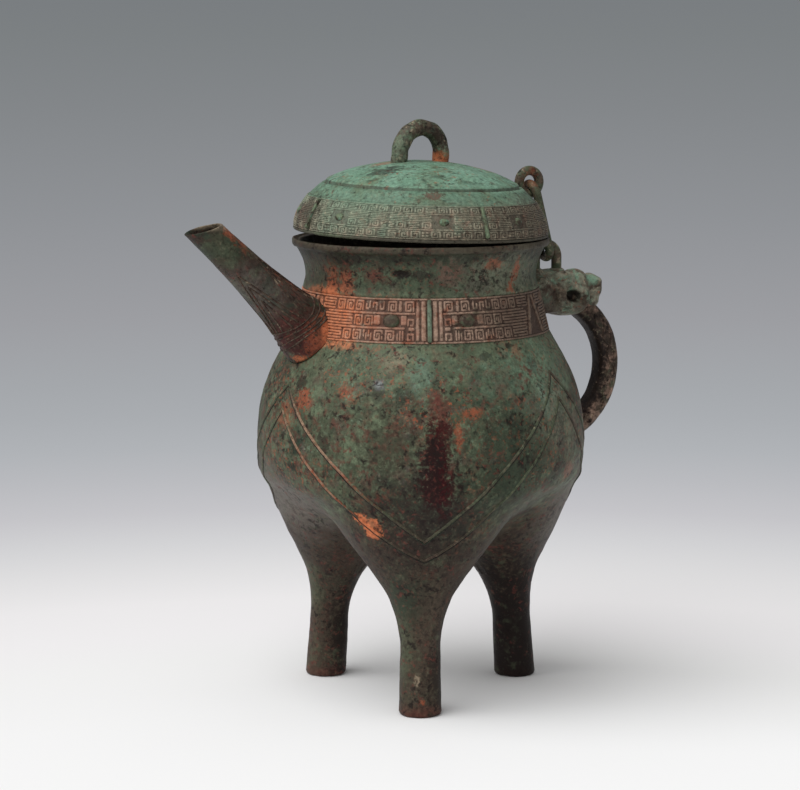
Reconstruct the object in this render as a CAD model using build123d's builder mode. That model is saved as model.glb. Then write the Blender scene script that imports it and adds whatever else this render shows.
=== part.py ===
"""Cast bronze pouring vessel: three-legged pot with spout, animal-head handle and tethered lid.

Millimetres, +Z up. The origin is on the pot's axis at the floor. +X points to the handle, the spout
is on the -X side, and the three legs stand at 0, 120 and 240 degrees from +X.
"""

import math
import os

from build123d import *

# Heights of the pot, stacked from the floor up
leg_height = 54.0  # floor to the flat where the cast leg meets its pouch
pouch_height = 72.0  # top of the legs to the widest level of the belly
shoulder_height = 54.5  # widest level to the lower edge of the ornament band
band_height = 20.5  # ornament band at the root of the neck
neck_height = 21.5  # top of the band to the underside of the lip
lip_height = 4.0

# Radii and walls of the pot
belly_radius = 81.0
shoulder_radius = 77.3  # half way up the shoulder
band_foot_radius = 63.5
band_top_radius = 58.5
waist_radius = 56.8  # narrowest place of the neck
lip_root_radius = 61.3
lip_radius = 63.4
wall = 3.5
casting_seam = 0.05  # between the pot or the lid and what was cast on to it
bowl_floor_rise = 6.0  # lowest point of the bowl above the top of the legs
bowl_low_radius = 31.0
bowl_low_rise = 17.0
bowl_high_radius = 60.0
bowl_high_rise = 48.0
waist_rise = 7.0  # narrowest place above the top of the band

# Legs and the pouches above them: distance of the centre from the axis, radius, rise above the leg
leg_angles = {"leg_under_handle": 0.0, "leg_far": 120.0, "leg_near": 240.0}  # degrees from +X
foot_reach = 56.0
foot_radius = 10.4
ankle_height = 17.0
ankle_reach = 54.6
ankle_radius = 10.0
shin_height = 37.0
shin_reach = 53.0
shin_radius = 10.0
leg_top_reach = 50.0
leg_top_radius = 14.4
pouch_low_rise = 12.0
pouch_low_reach = 46.8
pouch_low_radius = 21.9
pouch_middle_rise = 29.0
pouch_middle_reach = 40.0
pouch_middle_radius = 35.4
pouch_high_rise = 50.0
pouch_high_reach = 29.3
pouch_high_radius = 52.0
pouch_upper_rise = 60.0
pouch_upper_reach = 23.4
pouch_upper_radius = 58.1
pouch_crown_rise = 68.0
pouch_crown_reach = 19.3
pouch_crown_radius = 61.0

# Fired clay core left inside each leg
core_floor = 12.0
core_foot_radius = 5.0
core_top_radius = 8.0

# Spout
spout_root_out = 3.3  # root of the spout's axis outside the foot of the band
spout_root_rise = 5.5  # root of the spout's axis above the foot of the band
spout_angle = 42.8  # degrees above the floor
spout_length = 70.6
spout_mouth_lean = 20.0  # degrees by which the mouth faces outwards
spout_bore_radius = 6.0
spout_hole_ease = 0.8  # the hole in the pot's wall is this much wider than the bore
spout_tip_radius = 8.5
spout_middle_radius = 10.9
spout_neck_radius = 12.6
spout_collar_radius = 16.5
spout_neck_share = 0.22  # places along the spout's length
spout_middle_share = 0.5
spout_overrun = 20.0  # length beyond both ends, cut off by the mouth and the pot

# Handle: a ring-shaped strap that springs from an animal head
head_rise = 5.5  # top of the head above the top of the band
head_height = 22.0
head_width = 21.0
head_edge_radius = 5.0
nose_radius = 7.8
nose_width = 19.0
nose_height_share = 0.46
brow_radius = 5.2
brow_width = 17.0
brow_back = 14.5  # brow behind the tip of the nose
handle_radius = 34.9  # middle line of the strap
handle_inset = 6.4  # centre of the strap's ring inside the belly's widest radius
handle_drop = 2.9  # top of the strap's middle line below the middle of the head
strap_width = 12.0
strap_thickness = 11.1
strap_edge_radius = 2.5

# Tether: an upright eye on the head, an eye on the lid, and the link between them
eye_out = 9.6  # link's lower turning line outside the lip
eye_rise = 6.7  # link's lower turning line above the head
eye_hole_radius = 3.8
eye_bar_radius = 2.6
link_bar_radius = 2.2
link_half_width = 5.1
lid_eye_inset = 1.3  # link's upper turning line inside the lid's rim
lid_eye_height = 23.7  # link's upper turning line above the lid's edge
lid_eye_hole_radius = 3.4
lid_eye_bar_radius = 2.4
link_seat_clearance = 0.3

# Lid
lid_clearance = 0.3  # between the lid's edge and the lip where it rests
lid_tilt = 1.35  # degrees by which the worn lid stands open on the spout side
lid_overhang = 0.4
lid_edge_height = 6.0
lid_shoulder_radius = 60.8
lid_shoulder_height = 15.0
dome_radius = 46.3
dome_foot_height = 26.3
dome_height = 35.3
lid_wall = 3.4
tongue_depth = 7.0
tongue_wall = 3.0
tongue_clearance = 0.6
flange_thickness = 4.0

# Arched grip on top of the lid
bail_radius = 12.6
bail_bar_radius = 3.9
bail_centre_rise = 4.9  # centre of the arch above the top of the dome
bail_root_depth = 9.0  # feet of the arch below its centre, cut off by the dome

# Levels and places that follow from the sizes above
belly_level = leg_height + pouch_height
band_foot_level = belly_level + shoulder_height
band_top_level = band_foot_level + band_height
lip_foot_level = band_top_level + neck_height
rim_level = lip_foot_level + lip_height
head_top_level = band_top_level + head_rise
head_level = head_top_level - head_height / 2
handle_x = belly_radius - handle_inset
handle_level = head_level - handle_drop - handle_radius
head_end_x = handle_x + handle_radius - strap_thickness / 2
lid_radius = lip_radius + lid_overhang
tilt_sine = math.sin(math.radians(lid_tilt))
tilt_cosine = math.cos(math.radians(lid_tilt))
lid_plane = Plane(
    origin=(0, 0, rim_level + lid_clearance + lid_radius * tilt_sine),
    x_dir=(tilt_cosine, 0, -tilt_sine),
    z_dir=(tilt_sine, 0, tilt_cosine),
)
lid_side = Plane(origin=lid_plane.origin, x_dir=lid_plane.x_dir, z_dir=(0, -1, 0))
link_foot = Vector(lip_radius + eye_out, 0, head_top_level + eye_rise)
link_head = lid_plane.from_local_coords(Vector(lid_radius - lid_eye_inset, 0, lid_eye_height))
link_direction = (link_head - link_foot).normalized()

os.makedirs("parts", exist_ok=True)


def write_node(part, name):
    """Label one finished piece and write it to its own file."""
    part.label = name
    export_step(part, f"parts/{name}.step")


def limb_sections(inset):
    """Level, reach and radius of the circles that a leg and its pouch pass through, drawn in by inset."""
    sections = [
        (0.0, foot_reach, foot_radius),
        (ankle_height, ankle_reach, ankle_radius),
        (shin_height, shin_reach, shin_radius),
        (leg_height, leg_top_reach, leg_top_radius),
        (leg_height + pouch_low_rise, pouch_low_reach, pouch_low_radius),
        (leg_height + pouch_middle_rise, pouch_middle_reach, pouch_middle_radius),
        (leg_height + pouch_high_rise, pouch_high_reach, pouch_high_radius),
        (leg_height + pouch_upper_rise, pouch_upper_reach, pouch_upper_radius),
        (leg_height + pouch_crown_rise, pouch_crown_reach, pouch_crown_radius),
    ]
    return [(level, reach, radius - inset) for level, reach, radius in sections]


def limb_form(inset, cut_level, keep):
    """One leg with its pouch, kept above or below the cut level, in the handle's direction."""
    with BuildPart() as limb:
        for level, reach, radius in limb_sections(inset):
            with BuildSketch(Plane.XY.offset(level)):
                with Locations((reach, 0)):
                    Circle(radius)
        loft()
        split(bisect_by=Plane.XY.offset(cut_level), keep=keep)
    return limb.part


def pot_form(inset):
    """The pot as one filled form, drawn in by inset on all sides but the rim."""
    pouch = limb_form(inset, leg_height + inset, Keep.TOP)
    with BuildPart() as form:
        with BuildSketch(Plane.XZ):
            with BuildLine():
                bowl = Spline(
                    (0, leg_height + bowl_floor_rise + inset),
                    (bowl_low_radius - inset, leg_height + bowl_low_rise + inset),
                    (bowl_high_radius - inset, leg_height + bowl_high_rise),
                    (belly_radius - inset, belly_level),
                    tangents=[(1, 0), (0, 1)],
                )
                shoulder = Spline(
                    bowl @ 1,
                    (shoulder_radius - inset, belly_level + shoulder_height / 2),
                    (band_foot_radius - inset, band_foot_level),
                    tangents=[(0, 1), (band_foot_radius - shoulder_radius, shoulder_height / 2)],
                )
                band = Line(shoulder @ 1, (band_top_radius - inset, band_top_level))
                neck = Spline(
                    band @ 1,
                    (waist_radius - inset, band_top_level + waist_rise),
                    (lip_root_radius - inset, lip_foot_level),
                )
                lip_foot = Line(neck @ 1, (lip_radius - inset, lip_foot_level))
                lip_face = Line(lip_foot @ 1, (lip_radius - inset, rim_level))
                rim = Line(lip_face @ 1, (0, rim_level))
                Line(rim @ 1, bowl @ 0)
            make_face()
        revolve(axis=Axis.Z)
        for angle in leg_angles.values():
            add(pouch, rotation=(0, 0, angle))
    return form.part


def spout_sections():
    """Distance along the spout's axis and outer radius of the circles it passes through."""
    taper = (spout_middle_radius - spout_tip_radius) / (spout_length * (1 - spout_middle_share))
    return [
        (0.0, spout_collar_radius),
        (spout_length * spout_neck_share, spout_neck_radius),
        (spout_length * spout_middle_share, spout_middle_radius),
        (spout_length + spout_overrun, spout_tip_radius - taper * spout_overrun),
    ]


spout_rise = math.radians(spout_angle)
spout_root = Vector(-band_foot_radius - spout_root_out, 0, band_foot_level + spout_root_rise)
spout_direction = Vector(-math.cos(spout_rise), 0, math.sin(spout_rise))
spout_plane = Plane(origin=spout_root, x_dir=(0, 1, 0), z_dir=spout_direction)
mouth_lean = math.radians(spout_mouth_lean)
mouth_plane = Plane(
    origin=spout_root + spout_direction * spout_length,
    x_dir=(0, 1, 0),
    z_dir=(-math.sin(mouth_lean), 0, math.cos(mouth_lean)),
)

pot_outside = pot_form(0.0)
pot_inside = pot_form(wall)
pot_seat = pot_form(-casting_seam)

# Shell of the pot, from which its nodes are parted
with BuildPart() as shell:
    add(pot_outside)
    add(pot_inside, mode=Mode.SUBTRACT)
    with BuildSketch(spout_plane.offset(-spout_overrun)):
        Circle(spout_bore_radius + spout_hole_ease)
    extrude(amount=2 * spout_overrun, mode=Mode.SUBTRACT)

# Neck with the lip, above the ornament band
with BuildPart() as neck:
    add(shell.part)
    split(bisect_by=Plane.XY.offset(band_top_level), keep=Keep.TOP)
write_node(neck.part, "neck")

# Shoulder with the ornament band, from the widest level up
with BuildPart() as shoulder:
    add(shell.part)
    split(bisect_by=Plane.XY.offset(band_top_level), keep=Keep.BOTTOM)
    split(bisect_by=Plane.XY.offset(belly_level), keep=Keep.TOP)
write_node(shoulder.part, "shoulder")

# Pouches: each a third of the lower belly, parted at the valleys between the legs
valley_turn = 90.0 - 180.0 / len(leg_angles)
for leg_name, leg_angle in leg_angles.items():
    with BuildPart() as pouch:
        add(shell.part)
        split(bisect_by=Plane.XY.offset(belly_level), keep=Keep.BOTTOM)
        for turn in (-valley_turn, valley_turn):
            facing = Vector(1, 0, 0).rotate(Axis.Z, leg_angle + turn)
            split(bisect_by=Plane(origin=(0, 0, 0), z_dir=facing), keep=Keep.TOP)
    write_node(pouch.part, leg_name.replace("leg", "pouch", 1))

# Legs: cast posts that carry the pouches, each open at the top for its clay core
core_sections = [
    (core_floor, ankle_reach, core_foot_radius),
    (leg_height, leg_top_reach, core_top_radius),
]
leg_form = limb_form(0.0, leg_height, Keep.BOTTOM)
for leg_name, leg_angle in leg_angles.items():
    with BuildPart() as core:
        for level, reach, radius in core_sections:
            with BuildSketch(Plane.XY.rotated((0, 0, leg_angle)).offset(level)):
                with Locations((reach, 0)):
                    Circle(radius)
        loft()
    write_node(core.part, leg_name.replace("leg", "core", 1))

    with BuildPart() as leg:
        add(leg_form, rotation=(0, 0, leg_angle))
        add(core.part, mode=Mode.SUBTRACT)
    write_node(leg.part, leg_name)

# Spout: tapering tube with a flared collar that follows the pot's shoulder
with BuildPart() as spout:
    for distance, radius in spout_sections():
        with BuildSketch(spout_plane.offset(distance)):
            Circle(radius)
    loft()
    with BuildSketch(spout_plane):
        Circle(spout_collar_radius)
    extrude(amount=-spout_overrun)
    with BuildSketch(spout_plane.offset(-spout_overrun)):
        Circle(spout_bore_radius)
    extrude(amount=spout_length + 2 * spout_overrun, mode=Mode.SUBTRACT)
    split(bisect_by=mouth_plane, keep=Keep.BOTTOM)
    add(pot_seat, mode=Mode.SUBTRACT)
write_node(spout.part, "spout")

# Handle: strap bent into a ring, and the animal head between the strap and the neck
skull_end_x = head_end_x - nose_radius
nose_level = head_top_level - head_height + head_height * nose_height_share
with BuildPart() as skull:
    with BuildSketch(Plane.XZ):
        with Locations((skull_end_x / 2, head_level)):
            Rectangle(skull_end_x, head_height)
    extrude(amount=head_width / 2, both=True)
    fillet(skull.edges().filter_by(Axis.X), head_edge_radius)

with BuildPart() as handle:
    with BuildSketch(Plane.XZ):
        with Locations((handle_x, handle_level)):
            Circle(handle_radius + strap_thickness / 2)
            Circle(handle_radius - strap_thickness / 2, mode=Mode.SUBTRACT)
    extrude(amount=strap_width / 2, both=True)
    fillet(handle.edges(), strap_edge_radius)
    add(skull.part)
    with BuildSketch(Plane.XZ):
        with Locations((head_end_x - nose_radius, nose_level)):
            Circle(nose_radius)
    extrude(amount=nose_width / 2, both=True)
    with BuildSketch(Plane.XZ):
        with Locations((head_end_x - brow_back, head_top_level - brow_radius / 2)):
            Circle(brow_radius)
    extrude(amount=brow_width / 2, both=True)
    add(pot_seat, mode=Mode.SUBTRACT)
write_node(handle.part, "handle")

# Eye on the head: upright arch whose feet stand in the head
with BuildPart() as handle_eye:
    with BuildLine(Plane.XZ):
        arch_radius = eye_hole_radius + eye_bar_radius
        arch_foot_level = head_top_level - head_height / 2
        rise = Line(
            (link_foot.X - arch_radius, arch_foot_level), (link_foot.X - arch_radius, link_foot.Z)
        )
        crown = ThreePointArc(
            rise @ 1,
            (link_foot.X, link_foot.Z + arch_radius),
            (link_foot.X + arch_radius, link_foot.Z),
        )
        Line(crown @ 1, (link_foot.X + arch_radius, arch_foot_level))
    with BuildSketch(Plane.XY.offset(arch_foot_level)):
        with Locations((link_foot.X - arch_radius, 0)):
            Circle(eye_bar_radius)
    sweep()
    add(handle.part, mode=Mode.SUBTRACT)
    add(pot_seat, mode=Mode.SUBTRACT)
write_node(handle_eye.part, "handle_eye")


def lid_form(inset):
    """The lid's outer form above its edge, drawn in by inset."""
    with BuildPart() as form:
        with BuildSketch(lid_side):
            with BuildLine():
                edge = Line((lip_radius - inset, 0), (lid_radius - inset, lid_edge_height))
                shoulder = Spline(
                    edge @ 1,
                    (lid_shoulder_radius - inset, lid_shoulder_height - inset / 2),
                    (dome_radius - inset / 2, dome_foot_height - inset),
                )
                dome = Spline(
                    shoulder @ 1,
                    (0, dome_height - inset),
                    tangents=[(-dome_radius, (dome_height - dome_foot_height) * 2), (-1, 0)],
                )
                axis_line = Line(dome @ 1, (0, 0))
                Line(axis_line @ 1, edge @ 0)
            make_face()
        revolve(axis=Axis(lid_plane.origin, lid_plane.z_dir))
    return form.part


# Lid: domed cover with an inner tongue that enters the neck
lid_outside = lid_form(0.0)
lid_inside = lid_form(lid_wall)
lid_seat = lid_form(-casting_seam)
tongue_radius = waist_radius - wall - tongue_clearance
with BuildPart() as lid:
    add(lid_outside)
    add(lid_inside, mode=Mode.SUBTRACT)
    with BuildSketch(lid_plane):
        Circle(lip_radius - lid_wall / 2)
    extrude(amount=flange_thickness)
    with BuildSketch(lid_plane):
        Circle(tongue_radius)
    extrude(amount=-tongue_depth)
    with BuildSketch(lid_plane.offset(-tongue_depth)):
        Circle(tongue_radius - tongue_wall)
    extrude(amount=tongue_depth + flange_thickness, mode=Mode.SUBTRACT)
write_node(lid.part, "lid")

# Grip: round bar bent into an arch over the middle of the lid
with BuildPart() as lid_bail:
    bail_level = dome_height + bail_centre_rise
    with BuildLine(lid_side):
        rise = Line((-bail_radius, bail_level - bail_root_depth), (-bail_radius, bail_level))
        crown = ThreePointArc(rise @ 1, (0, bail_level + bail_radius), (bail_radius, bail_level))
        Line(crown @ 1, (bail_radius, bail_level - bail_root_depth))
    with BuildSketch(lid_plane.offset(bail_level - bail_root_depth)):
        with Locations((-bail_radius, 0)):
            Circle(bail_bar_radius)
    sweep()
    add(lid_seat, mode=Mode.SUBTRACT)
write_node(lid_bail.part, "lid_bail")

# Eye on the lid: ring that stands half sunk in the shoulder, its hole's lower side under the link
eye_slack = lid_eye_hole_radius - link_bar_radius - link_seat_clearance
lid_eye_centre = link_head + link_direction * eye_slack
with BuildPart() as lid_eye:
    with BuildSketch(Plane.XY.offset(lid_eye_centre.Z)):
        with Locations((lid_eye_centre.X + lid_eye_hole_radius + lid_eye_bar_radius, 0)):
            Circle(lid_eye_bar_radius)
    revolve(axis=Axis((lid_eye_centre.X, 0, lid_eye_centre.Z), (0, 1, 0)))
    add(lid_seat, mode=Mode.SUBTRACT)
write_node(lid_eye.part, "lid_eye")

# Link: long closed loop of round bar through both eyes
link_plane = Plane(origin=link_foot, x_dir=(0, 1, 0), z_dir=link_direction.cross(Vector(0, 1, 0)) * -1)
link_length = (link_head - link_foot).length
with BuildPart() as tether_link:
    with BuildLine(link_plane):
        side = Line(
            (link_half_width, link_half_width), (link_half_width, link_length - link_half_width)
        )
        top = ThreePointArc(
            side @ 1, (0, link_length), (-link_half_width, link_length - link_half_width)
        )
        back = Line(top @ 1, (-link_half_width, link_half_width))
        ThreePointArc(back @ 1, (0, 0), side @ 0)
    with BuildSketch(Plane(origin=side @ 0.5, z_dir=link_direction)):
        Circle(link_bar_radius)
    sweep()
write_node(tether_link.part, "tether_link")
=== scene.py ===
"""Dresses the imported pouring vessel: cast skins, friezes, patina, floor, light and camera."""
import logging
import math
from dataclasses import dataclass, field
from enum import Enum
from typing import Callable, Optional, Sequence, Union

import bmesh
import bpy
import numpy as np
from mathutils import Matrix, Vector, noise
from mathutils.geometry import interpolate_bezier


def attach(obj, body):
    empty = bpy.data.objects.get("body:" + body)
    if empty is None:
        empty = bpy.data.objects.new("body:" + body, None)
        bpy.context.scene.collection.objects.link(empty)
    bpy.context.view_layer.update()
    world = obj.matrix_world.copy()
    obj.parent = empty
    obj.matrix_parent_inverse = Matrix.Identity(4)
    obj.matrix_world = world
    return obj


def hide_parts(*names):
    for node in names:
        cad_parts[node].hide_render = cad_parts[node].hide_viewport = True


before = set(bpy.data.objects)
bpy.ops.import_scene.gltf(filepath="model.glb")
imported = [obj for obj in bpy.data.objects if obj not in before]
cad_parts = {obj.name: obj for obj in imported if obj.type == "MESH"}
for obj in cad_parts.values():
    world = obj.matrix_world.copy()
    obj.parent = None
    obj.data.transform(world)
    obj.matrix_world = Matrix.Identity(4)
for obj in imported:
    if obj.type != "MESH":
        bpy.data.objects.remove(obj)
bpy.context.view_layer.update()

LOG = logging.getLogger("vessel")
MM = 0.001
FULL_TURN = 2 * math.pi
LEG_ANGLES = {"under_handle": 0.0, "far": 120.0, "near": 240.0}
CAST_SKIN = (0.2, 8.0)
CAST_NOISE = (1.0, 2.0, 3)
NOISE_MEAN = 0.5
HALF = 0.5
BEZIER_SHARE = 6
EASE = 0.5
TINY = 1e-6
BLOB_DETAIL = 4
EDGE_SEGMENTS = 5

Point = tuple[float, ...]
Colour = tuple[float, float, float, float]
Shape = bmesh.types.BMesh
Coat = bpy.types.Material


class Body(Enum):
    """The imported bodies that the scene's own pieces ride on; the link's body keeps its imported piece."""

    VESSEL = "vessel"
    LID = "lid"


class Slot(Enum):
    """The record's material slot names; none of the scene's own pieces is given one."""

    POT = "bronze_pot"
    LEG = "bronze_leg"
    SPOUT = "bronze_spout"
    HANDLE = "bronze_handle"
    LID = "bronze_lid"
    FITTINGS = "bronze_lid_fittings"


class Pigment(Enum):
    """Colours of old bronze and its crusts, as linear values; the dark, black and grey ones also paint shade, shadow
    and reflection.
    """

    BROWN = (0.082, 0.060, 0.043, 1.0)
    EARTH = (0.044, 0.028, 0.021, 1.0)
    GREY = (0.128, 0.110, 0.094, 1.0)
    DEEP_GREEN = (0.026, 0.038, 0.025, 1.0)
    MOSS = (0.074, 0.088, 0.053, 1.0)
    LEAF = (0.122, 0.155, 0.094, 1.0)
    SAGE = (0.215, 0.215, 0.158, 1.0)
    BUFF = (0.350, 0.224, 0.168, 1.0)
    PALE_GREEN = (0.165, 0.235, 0.165, 1.0)
    MALACHITE = (0.150, 0.268, 0.186, 1.0)
    TURQUOISE = (0.188, 0.328, 0.244, 1.0)
    DARK = (0.014, 0.009, 0.008, 1.0)
    WINE = (0.030, 0.002, 0.004, 1.0)
    CUPRITE = (0.120, 0.034, 0.026, 1.0)
    RUST = (0.270, 0.074, 0.036, 1.0)
    ORANGE = (0.540, 0.165, 0.070, 1.0)
    TAN = (0.330, 0.260, 0.180, 1.0)
    STEEL = (0.235, 0.245, 0.255, 1.0)
    CLAY = (0.300, 0.185, 0.120, 1.0)
    SOOT_AND_SHADE = (0.020, 0.014, 0.012, 1.0)


class Tone:
    """A value that changes over a surface; arithmetic on it adds Math nodes."""

    def __init__(self, paint: "Paint", socket: bpy.types.NodeSocket) -> None:
        """Keeps the node tree and the socket that carries the value."""
        self.paint = paint
        self.socket = socket

    def _math(self, operation: str, first: "Number", second: "Number") -> "Tone":
        """One Math node.

        Args:
            operation: the Math node's operation.
            first: the left value.
            second: the right value.

        Returns:
            The node's value.
        """
        return self.paint.node("ShaderNodeMath", {"operation": operation}, {0: first, 1: second})

    def __add__(self, other: "Number") -> "Tone":
        """self + other."""
        return self._math("ADD", self, other)

    def __sub__(self, other: "Number") -> "Tone":
        """self - other."""
        return self._math("SUBTRACT", self, other)

    def __mul__(self, other: "Number") -> "Tone":
        """self * other."""
        return self._math("MULTIPLY", self, other)

    def __truediv__(self, other: "Number") -> "Tone":
        """self / other."""
        return self._math("DIVIDE", self, other)

    def step(self, low: float, high: float, top: float = 1.0) -> "Tone":
        """A smooth step.

        Args:
            low: the value at which the step starts from 0.
            high: the value at which it ends; below low for a falling step.
            top: what it rises to.

        Returns:
            0 before low, top after high.
        """
        ends = {0: self, 1: low, 2: high, 3: 0.0, 4: top}
        if low > high:
            ends = {0: self, 1: high, 2: low, 3: top, 4: 0.0}
        return self.paint.node("ShaderNodeMapRange", {"interpolation_type": "SMOOTHSTEP"}, ends)


Number = Union[Tone, float]
Value = Union[Tone, float, Colour, Point]


class Paint:
    """The node tree of one material, or of the world."""

    MIX_A, MIX_B, MIX_COLOUR = 6, 7, 2
    SHEEN = 0.12

    def __init__(self, owner: Union[Coat, bpy.types.World]) -> None:
        """Starts with an empty node tree in a material or the world."""
        self.owner = owner
        owner.use_nodes = True
        self.tree = owner.node_tree
        self.tree.nodes.clear()
        self._place: Optional[Tone] = None

    def node(self, kind: str, settings: dict[str, object], sockets: dict[Union[int, str], Value],
             output: Union[int, str] = 0) -> Tone:
        """Adds any node.

        Args:
            kind: the node's type.
            settings: its properties, set first; stops gives a colour ramp's stops.
            sockets: values or links of its inputs, by name or number.
            output: the output that is handed back.

        Returns:
            The node's output.
        """
        made = self.tree.nodes.new(kind)
        for key, value in settings.items():
            if key == "stops":
                self._set_stops(made.color_ramp, value)
            else:
                setattr(made, key, value)
        for key, value in sockets.items():
            if isinstance(value, Tone):
                self.tree.links.new(value.socket, made.inputs[key])
            else:
                made.inputs[key].default_value = value
        return Tone(self, made.outputs[output]) if len(made.outputs) else Tone(self, None)

    @staticmethod
    def _set_stops(ramp: bpy.types.ColorRamp, stops: Sequence[tuple[float, Colour]]) -> None:
        """Gives a colour ramp its stops.

        Args:
            ramp: the ramp, with Blender's two stops.
            stops: place and colour of each stop, in order.
        """
        while len(ramp.elements) < len(stops):
            ramp.elements.new(1.0)
        for element, (place, colour) in zip(ramp.elements, stops):
            element.position = place
            element.color = colour

    def vector(self, operation: str, first: Value, second: Value, output: Union[int, str] = 0) -> Tone:
        """One Vector Math node.

        Args:
            operation: the node's operation.
            first: the left vector.
            second: the right vector.
            output: the output that is handed back, Value for a distance.

        Returns:
            The node's output.
        """
        return self.node("ShaderNodeVectorMath", {"operation": operation}, {0: first, 1: second}, output)

    def place(self) -> Tone:
        """The point on the object, in metres."""
        if self._place is None:
            self._place = self.node("ShaderNodeTexCoord", {}, {}, "Object")
        return self._place

    def axis(self, name: str) -> Tone:
        """One of the point's coordinates, X, Y or Z, in millimetres."""
        return self.node("ShaderNodeSeparateXYZ", {}, {0: self.place()}, name) * (1 / MM)

    def cloud(self, size: float, detail: float = 4.0, rough: float = 0.55, shift: float = 0.0,
              twist: float = 0.0) -> Tone:
        """Noise over the surface.

        Args:
            size: the size of its lumps, in millimetres.
            detail: octaves.
            rough: strength of the finer octaves.
            shift: moves the noise, so that two clouds differ.
            twist: distortion.

        Returns:
            The noise, about 0.5.
        """
        moved = self.vector("ADD", self.place(), (shift, -shift, shift))
        return self.node("ShaderNodeTexNoise", {}, {"Vector": moved, "Scale": 1 / (size * MM), "Detail": detail,
                                                    "Roughness": rough, "Distortion": twist})

    def mix(self, factor: Number, first: Value, second: Value) -> Tone:
        """A blend of two colours.

        Args:
            factor: 0 for the first colour, 1 for the second.
            first: a colour.
            second: a colour.

        Returns:
            The blended colour.
        """
        return self.node("ShaderNodeMix", {"data_type": "RGBA"},
                         {0: factor, self.MIX_A: first, self.MIX_B: second}, self.MIX_COLOUR)

    def scale(self, colour: Value, factor: Tone) -> Tone:
        """The colour, made lighter or darker by a factor."""
        return self.node("ShaderNodeVectorMath", {"operation": "SCALE"}, {0: colour, "Scale": factor})

    def surface(self, colour: Value, roughness: Value, metallic: Value, height: Tone, depth: float) -> None:
        """Ends the tree in a Principled shader.

        Args:
            colour: base colour.
            roughness: roughness.
            metallic: metallic.
            height: what the bump follows, 0 to 1.
            depth: how high the bump stands, in millimetres.
        """
        normal = self.node("ShaderNodeBump", {}, {"Height": height, "Strength": 1.0, "Distance": depth * MM})
        shader = self.node("ShaderNodeBsdfPrincipled", {},
                           {"Base Color": colour, "Roughness": roughness, "Metallic": metallic, "Normal": normal,
                            "Specular IOR Level": self.SHEEN})
        self.node("ShaderNodeOutputMaterial", {}, {"Surface": shader})


@dataclass(frozen=True)
class Noises:
    """The noises that the layers of one finish share: for edges, for gaps, and half of each."""

    edge: Tone
    fine: Tone
    broken: Tone


@dataclass(frozen=True)
class Patch:
    """One patch of a pigment, at a place on the vessel in millimetres: mostly a stain, in some places painted shade,
    shadow, highlight and reflection.

    ragged tears its edge, soft widens its edge, and grain is how much of it the gaps take.
    """

    EDGE_REACH = 3.0
    GAPS = (0.36, 0.54)

    pigment: Pigment
    at: Point
    half: Point
    strength: float = 1.0
    ragged: float = 1.5
    soft: float = 0.35
    grain: float = 0.5

    def mask(self, paint: Paint, noises: Noises) -> Tone:
        """Where the patch lies.

        Args:
            paint: the material.
            noises: what breaks up the patch's edge and leaves gaps all over it.

        Returns:
            The patch's strength over the surface.
        """
        middle = tuple(value * MM for value in self.at)
        reach = tuple(value * MM for value in self.half)
        scaled = paint.vector("DIVIDE", paint.vector("SUBTRACT", paint.place(), middle), reach)
        away = paint.node("ShaderNodeVectorMath", {"operation": "LENGTH"}, {0: scaled}, "Value")
        torn = away + (noises.broken - NOISE_MEAN) * (self.EDGE_REACH * self.ragged)
        patch = torn.step(1.0 + self.soft, 1.0 - self.soft, self.strength)
        return patch * (noises.fine.step(*self.GAPS, self.grain) + (1 - self.grain))


@dataclass(frozen=True)
class Bloom:
    """A crust of one pigment that breaks out all over a piece.

    size is its lumps' size, low and high the noise at which it starts and is full, drift the size of its drifts.
    """

    OCTAVES, ROUGH, TWIST = 6.0, 0.62, 0.35
    DRIFT_OCTAVES, DRIFT_ROUGH, DRIFT_SHIFT = 2.0, 0.5, 5.0
    DRIFT_RANGE = (0.42, 0.58)

    pigment: Pigment
    size: float
    low: float
    high: float
    strength: float = 1.0
    shift: float = 0.0
    drift: float = 0.0

    def mask(self, paint: Paint, noises: Noises) -> Tone:
        """Where the crust has grown, in drifts if it has a size for them.

        Args:
            paint: the material.
            noises: not used, because a crust has noise of its own.

        Returns:
            The crust's strength over the surface.
        """
        cloud = paint.cloud(self.size, self.OCTAVES, self.ROUGH, self.shift, self.TWIST)
        grown = cloud.step(self.low, self.high, self.strength)
        if not self.drift:
            return grown
        drifts = paint.cloud(self.drift, self.DRIFT_OCTAVES, self.DRIFT_ROUGH, self.shift + self.DRIFT_SHIFT)
        return grown * drifts.step(*self.DRIFT_RANGE)


@dataclass(frozen=True)
class Tide:
    """A pigment that takes over between two levels, in millimetres."""

    pigment: Pigment
    start: float
    full: float
    strength: float = 1.0
    ragged: float = 30.0

    def mask(self, paint: Paint, noises: Noises) -> Tone:
        """Where the pigment lies.

        Args:
            paint: the material.
            noises: what breaks up the level.

        Returns:
            The pigment's strength over the surface.
        """
        torn = paint.axis("Z") + (noises.edge - NOISE_MEAN) * self.ragged
        return torn.step(self.start, self.full, self.strength)


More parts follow.
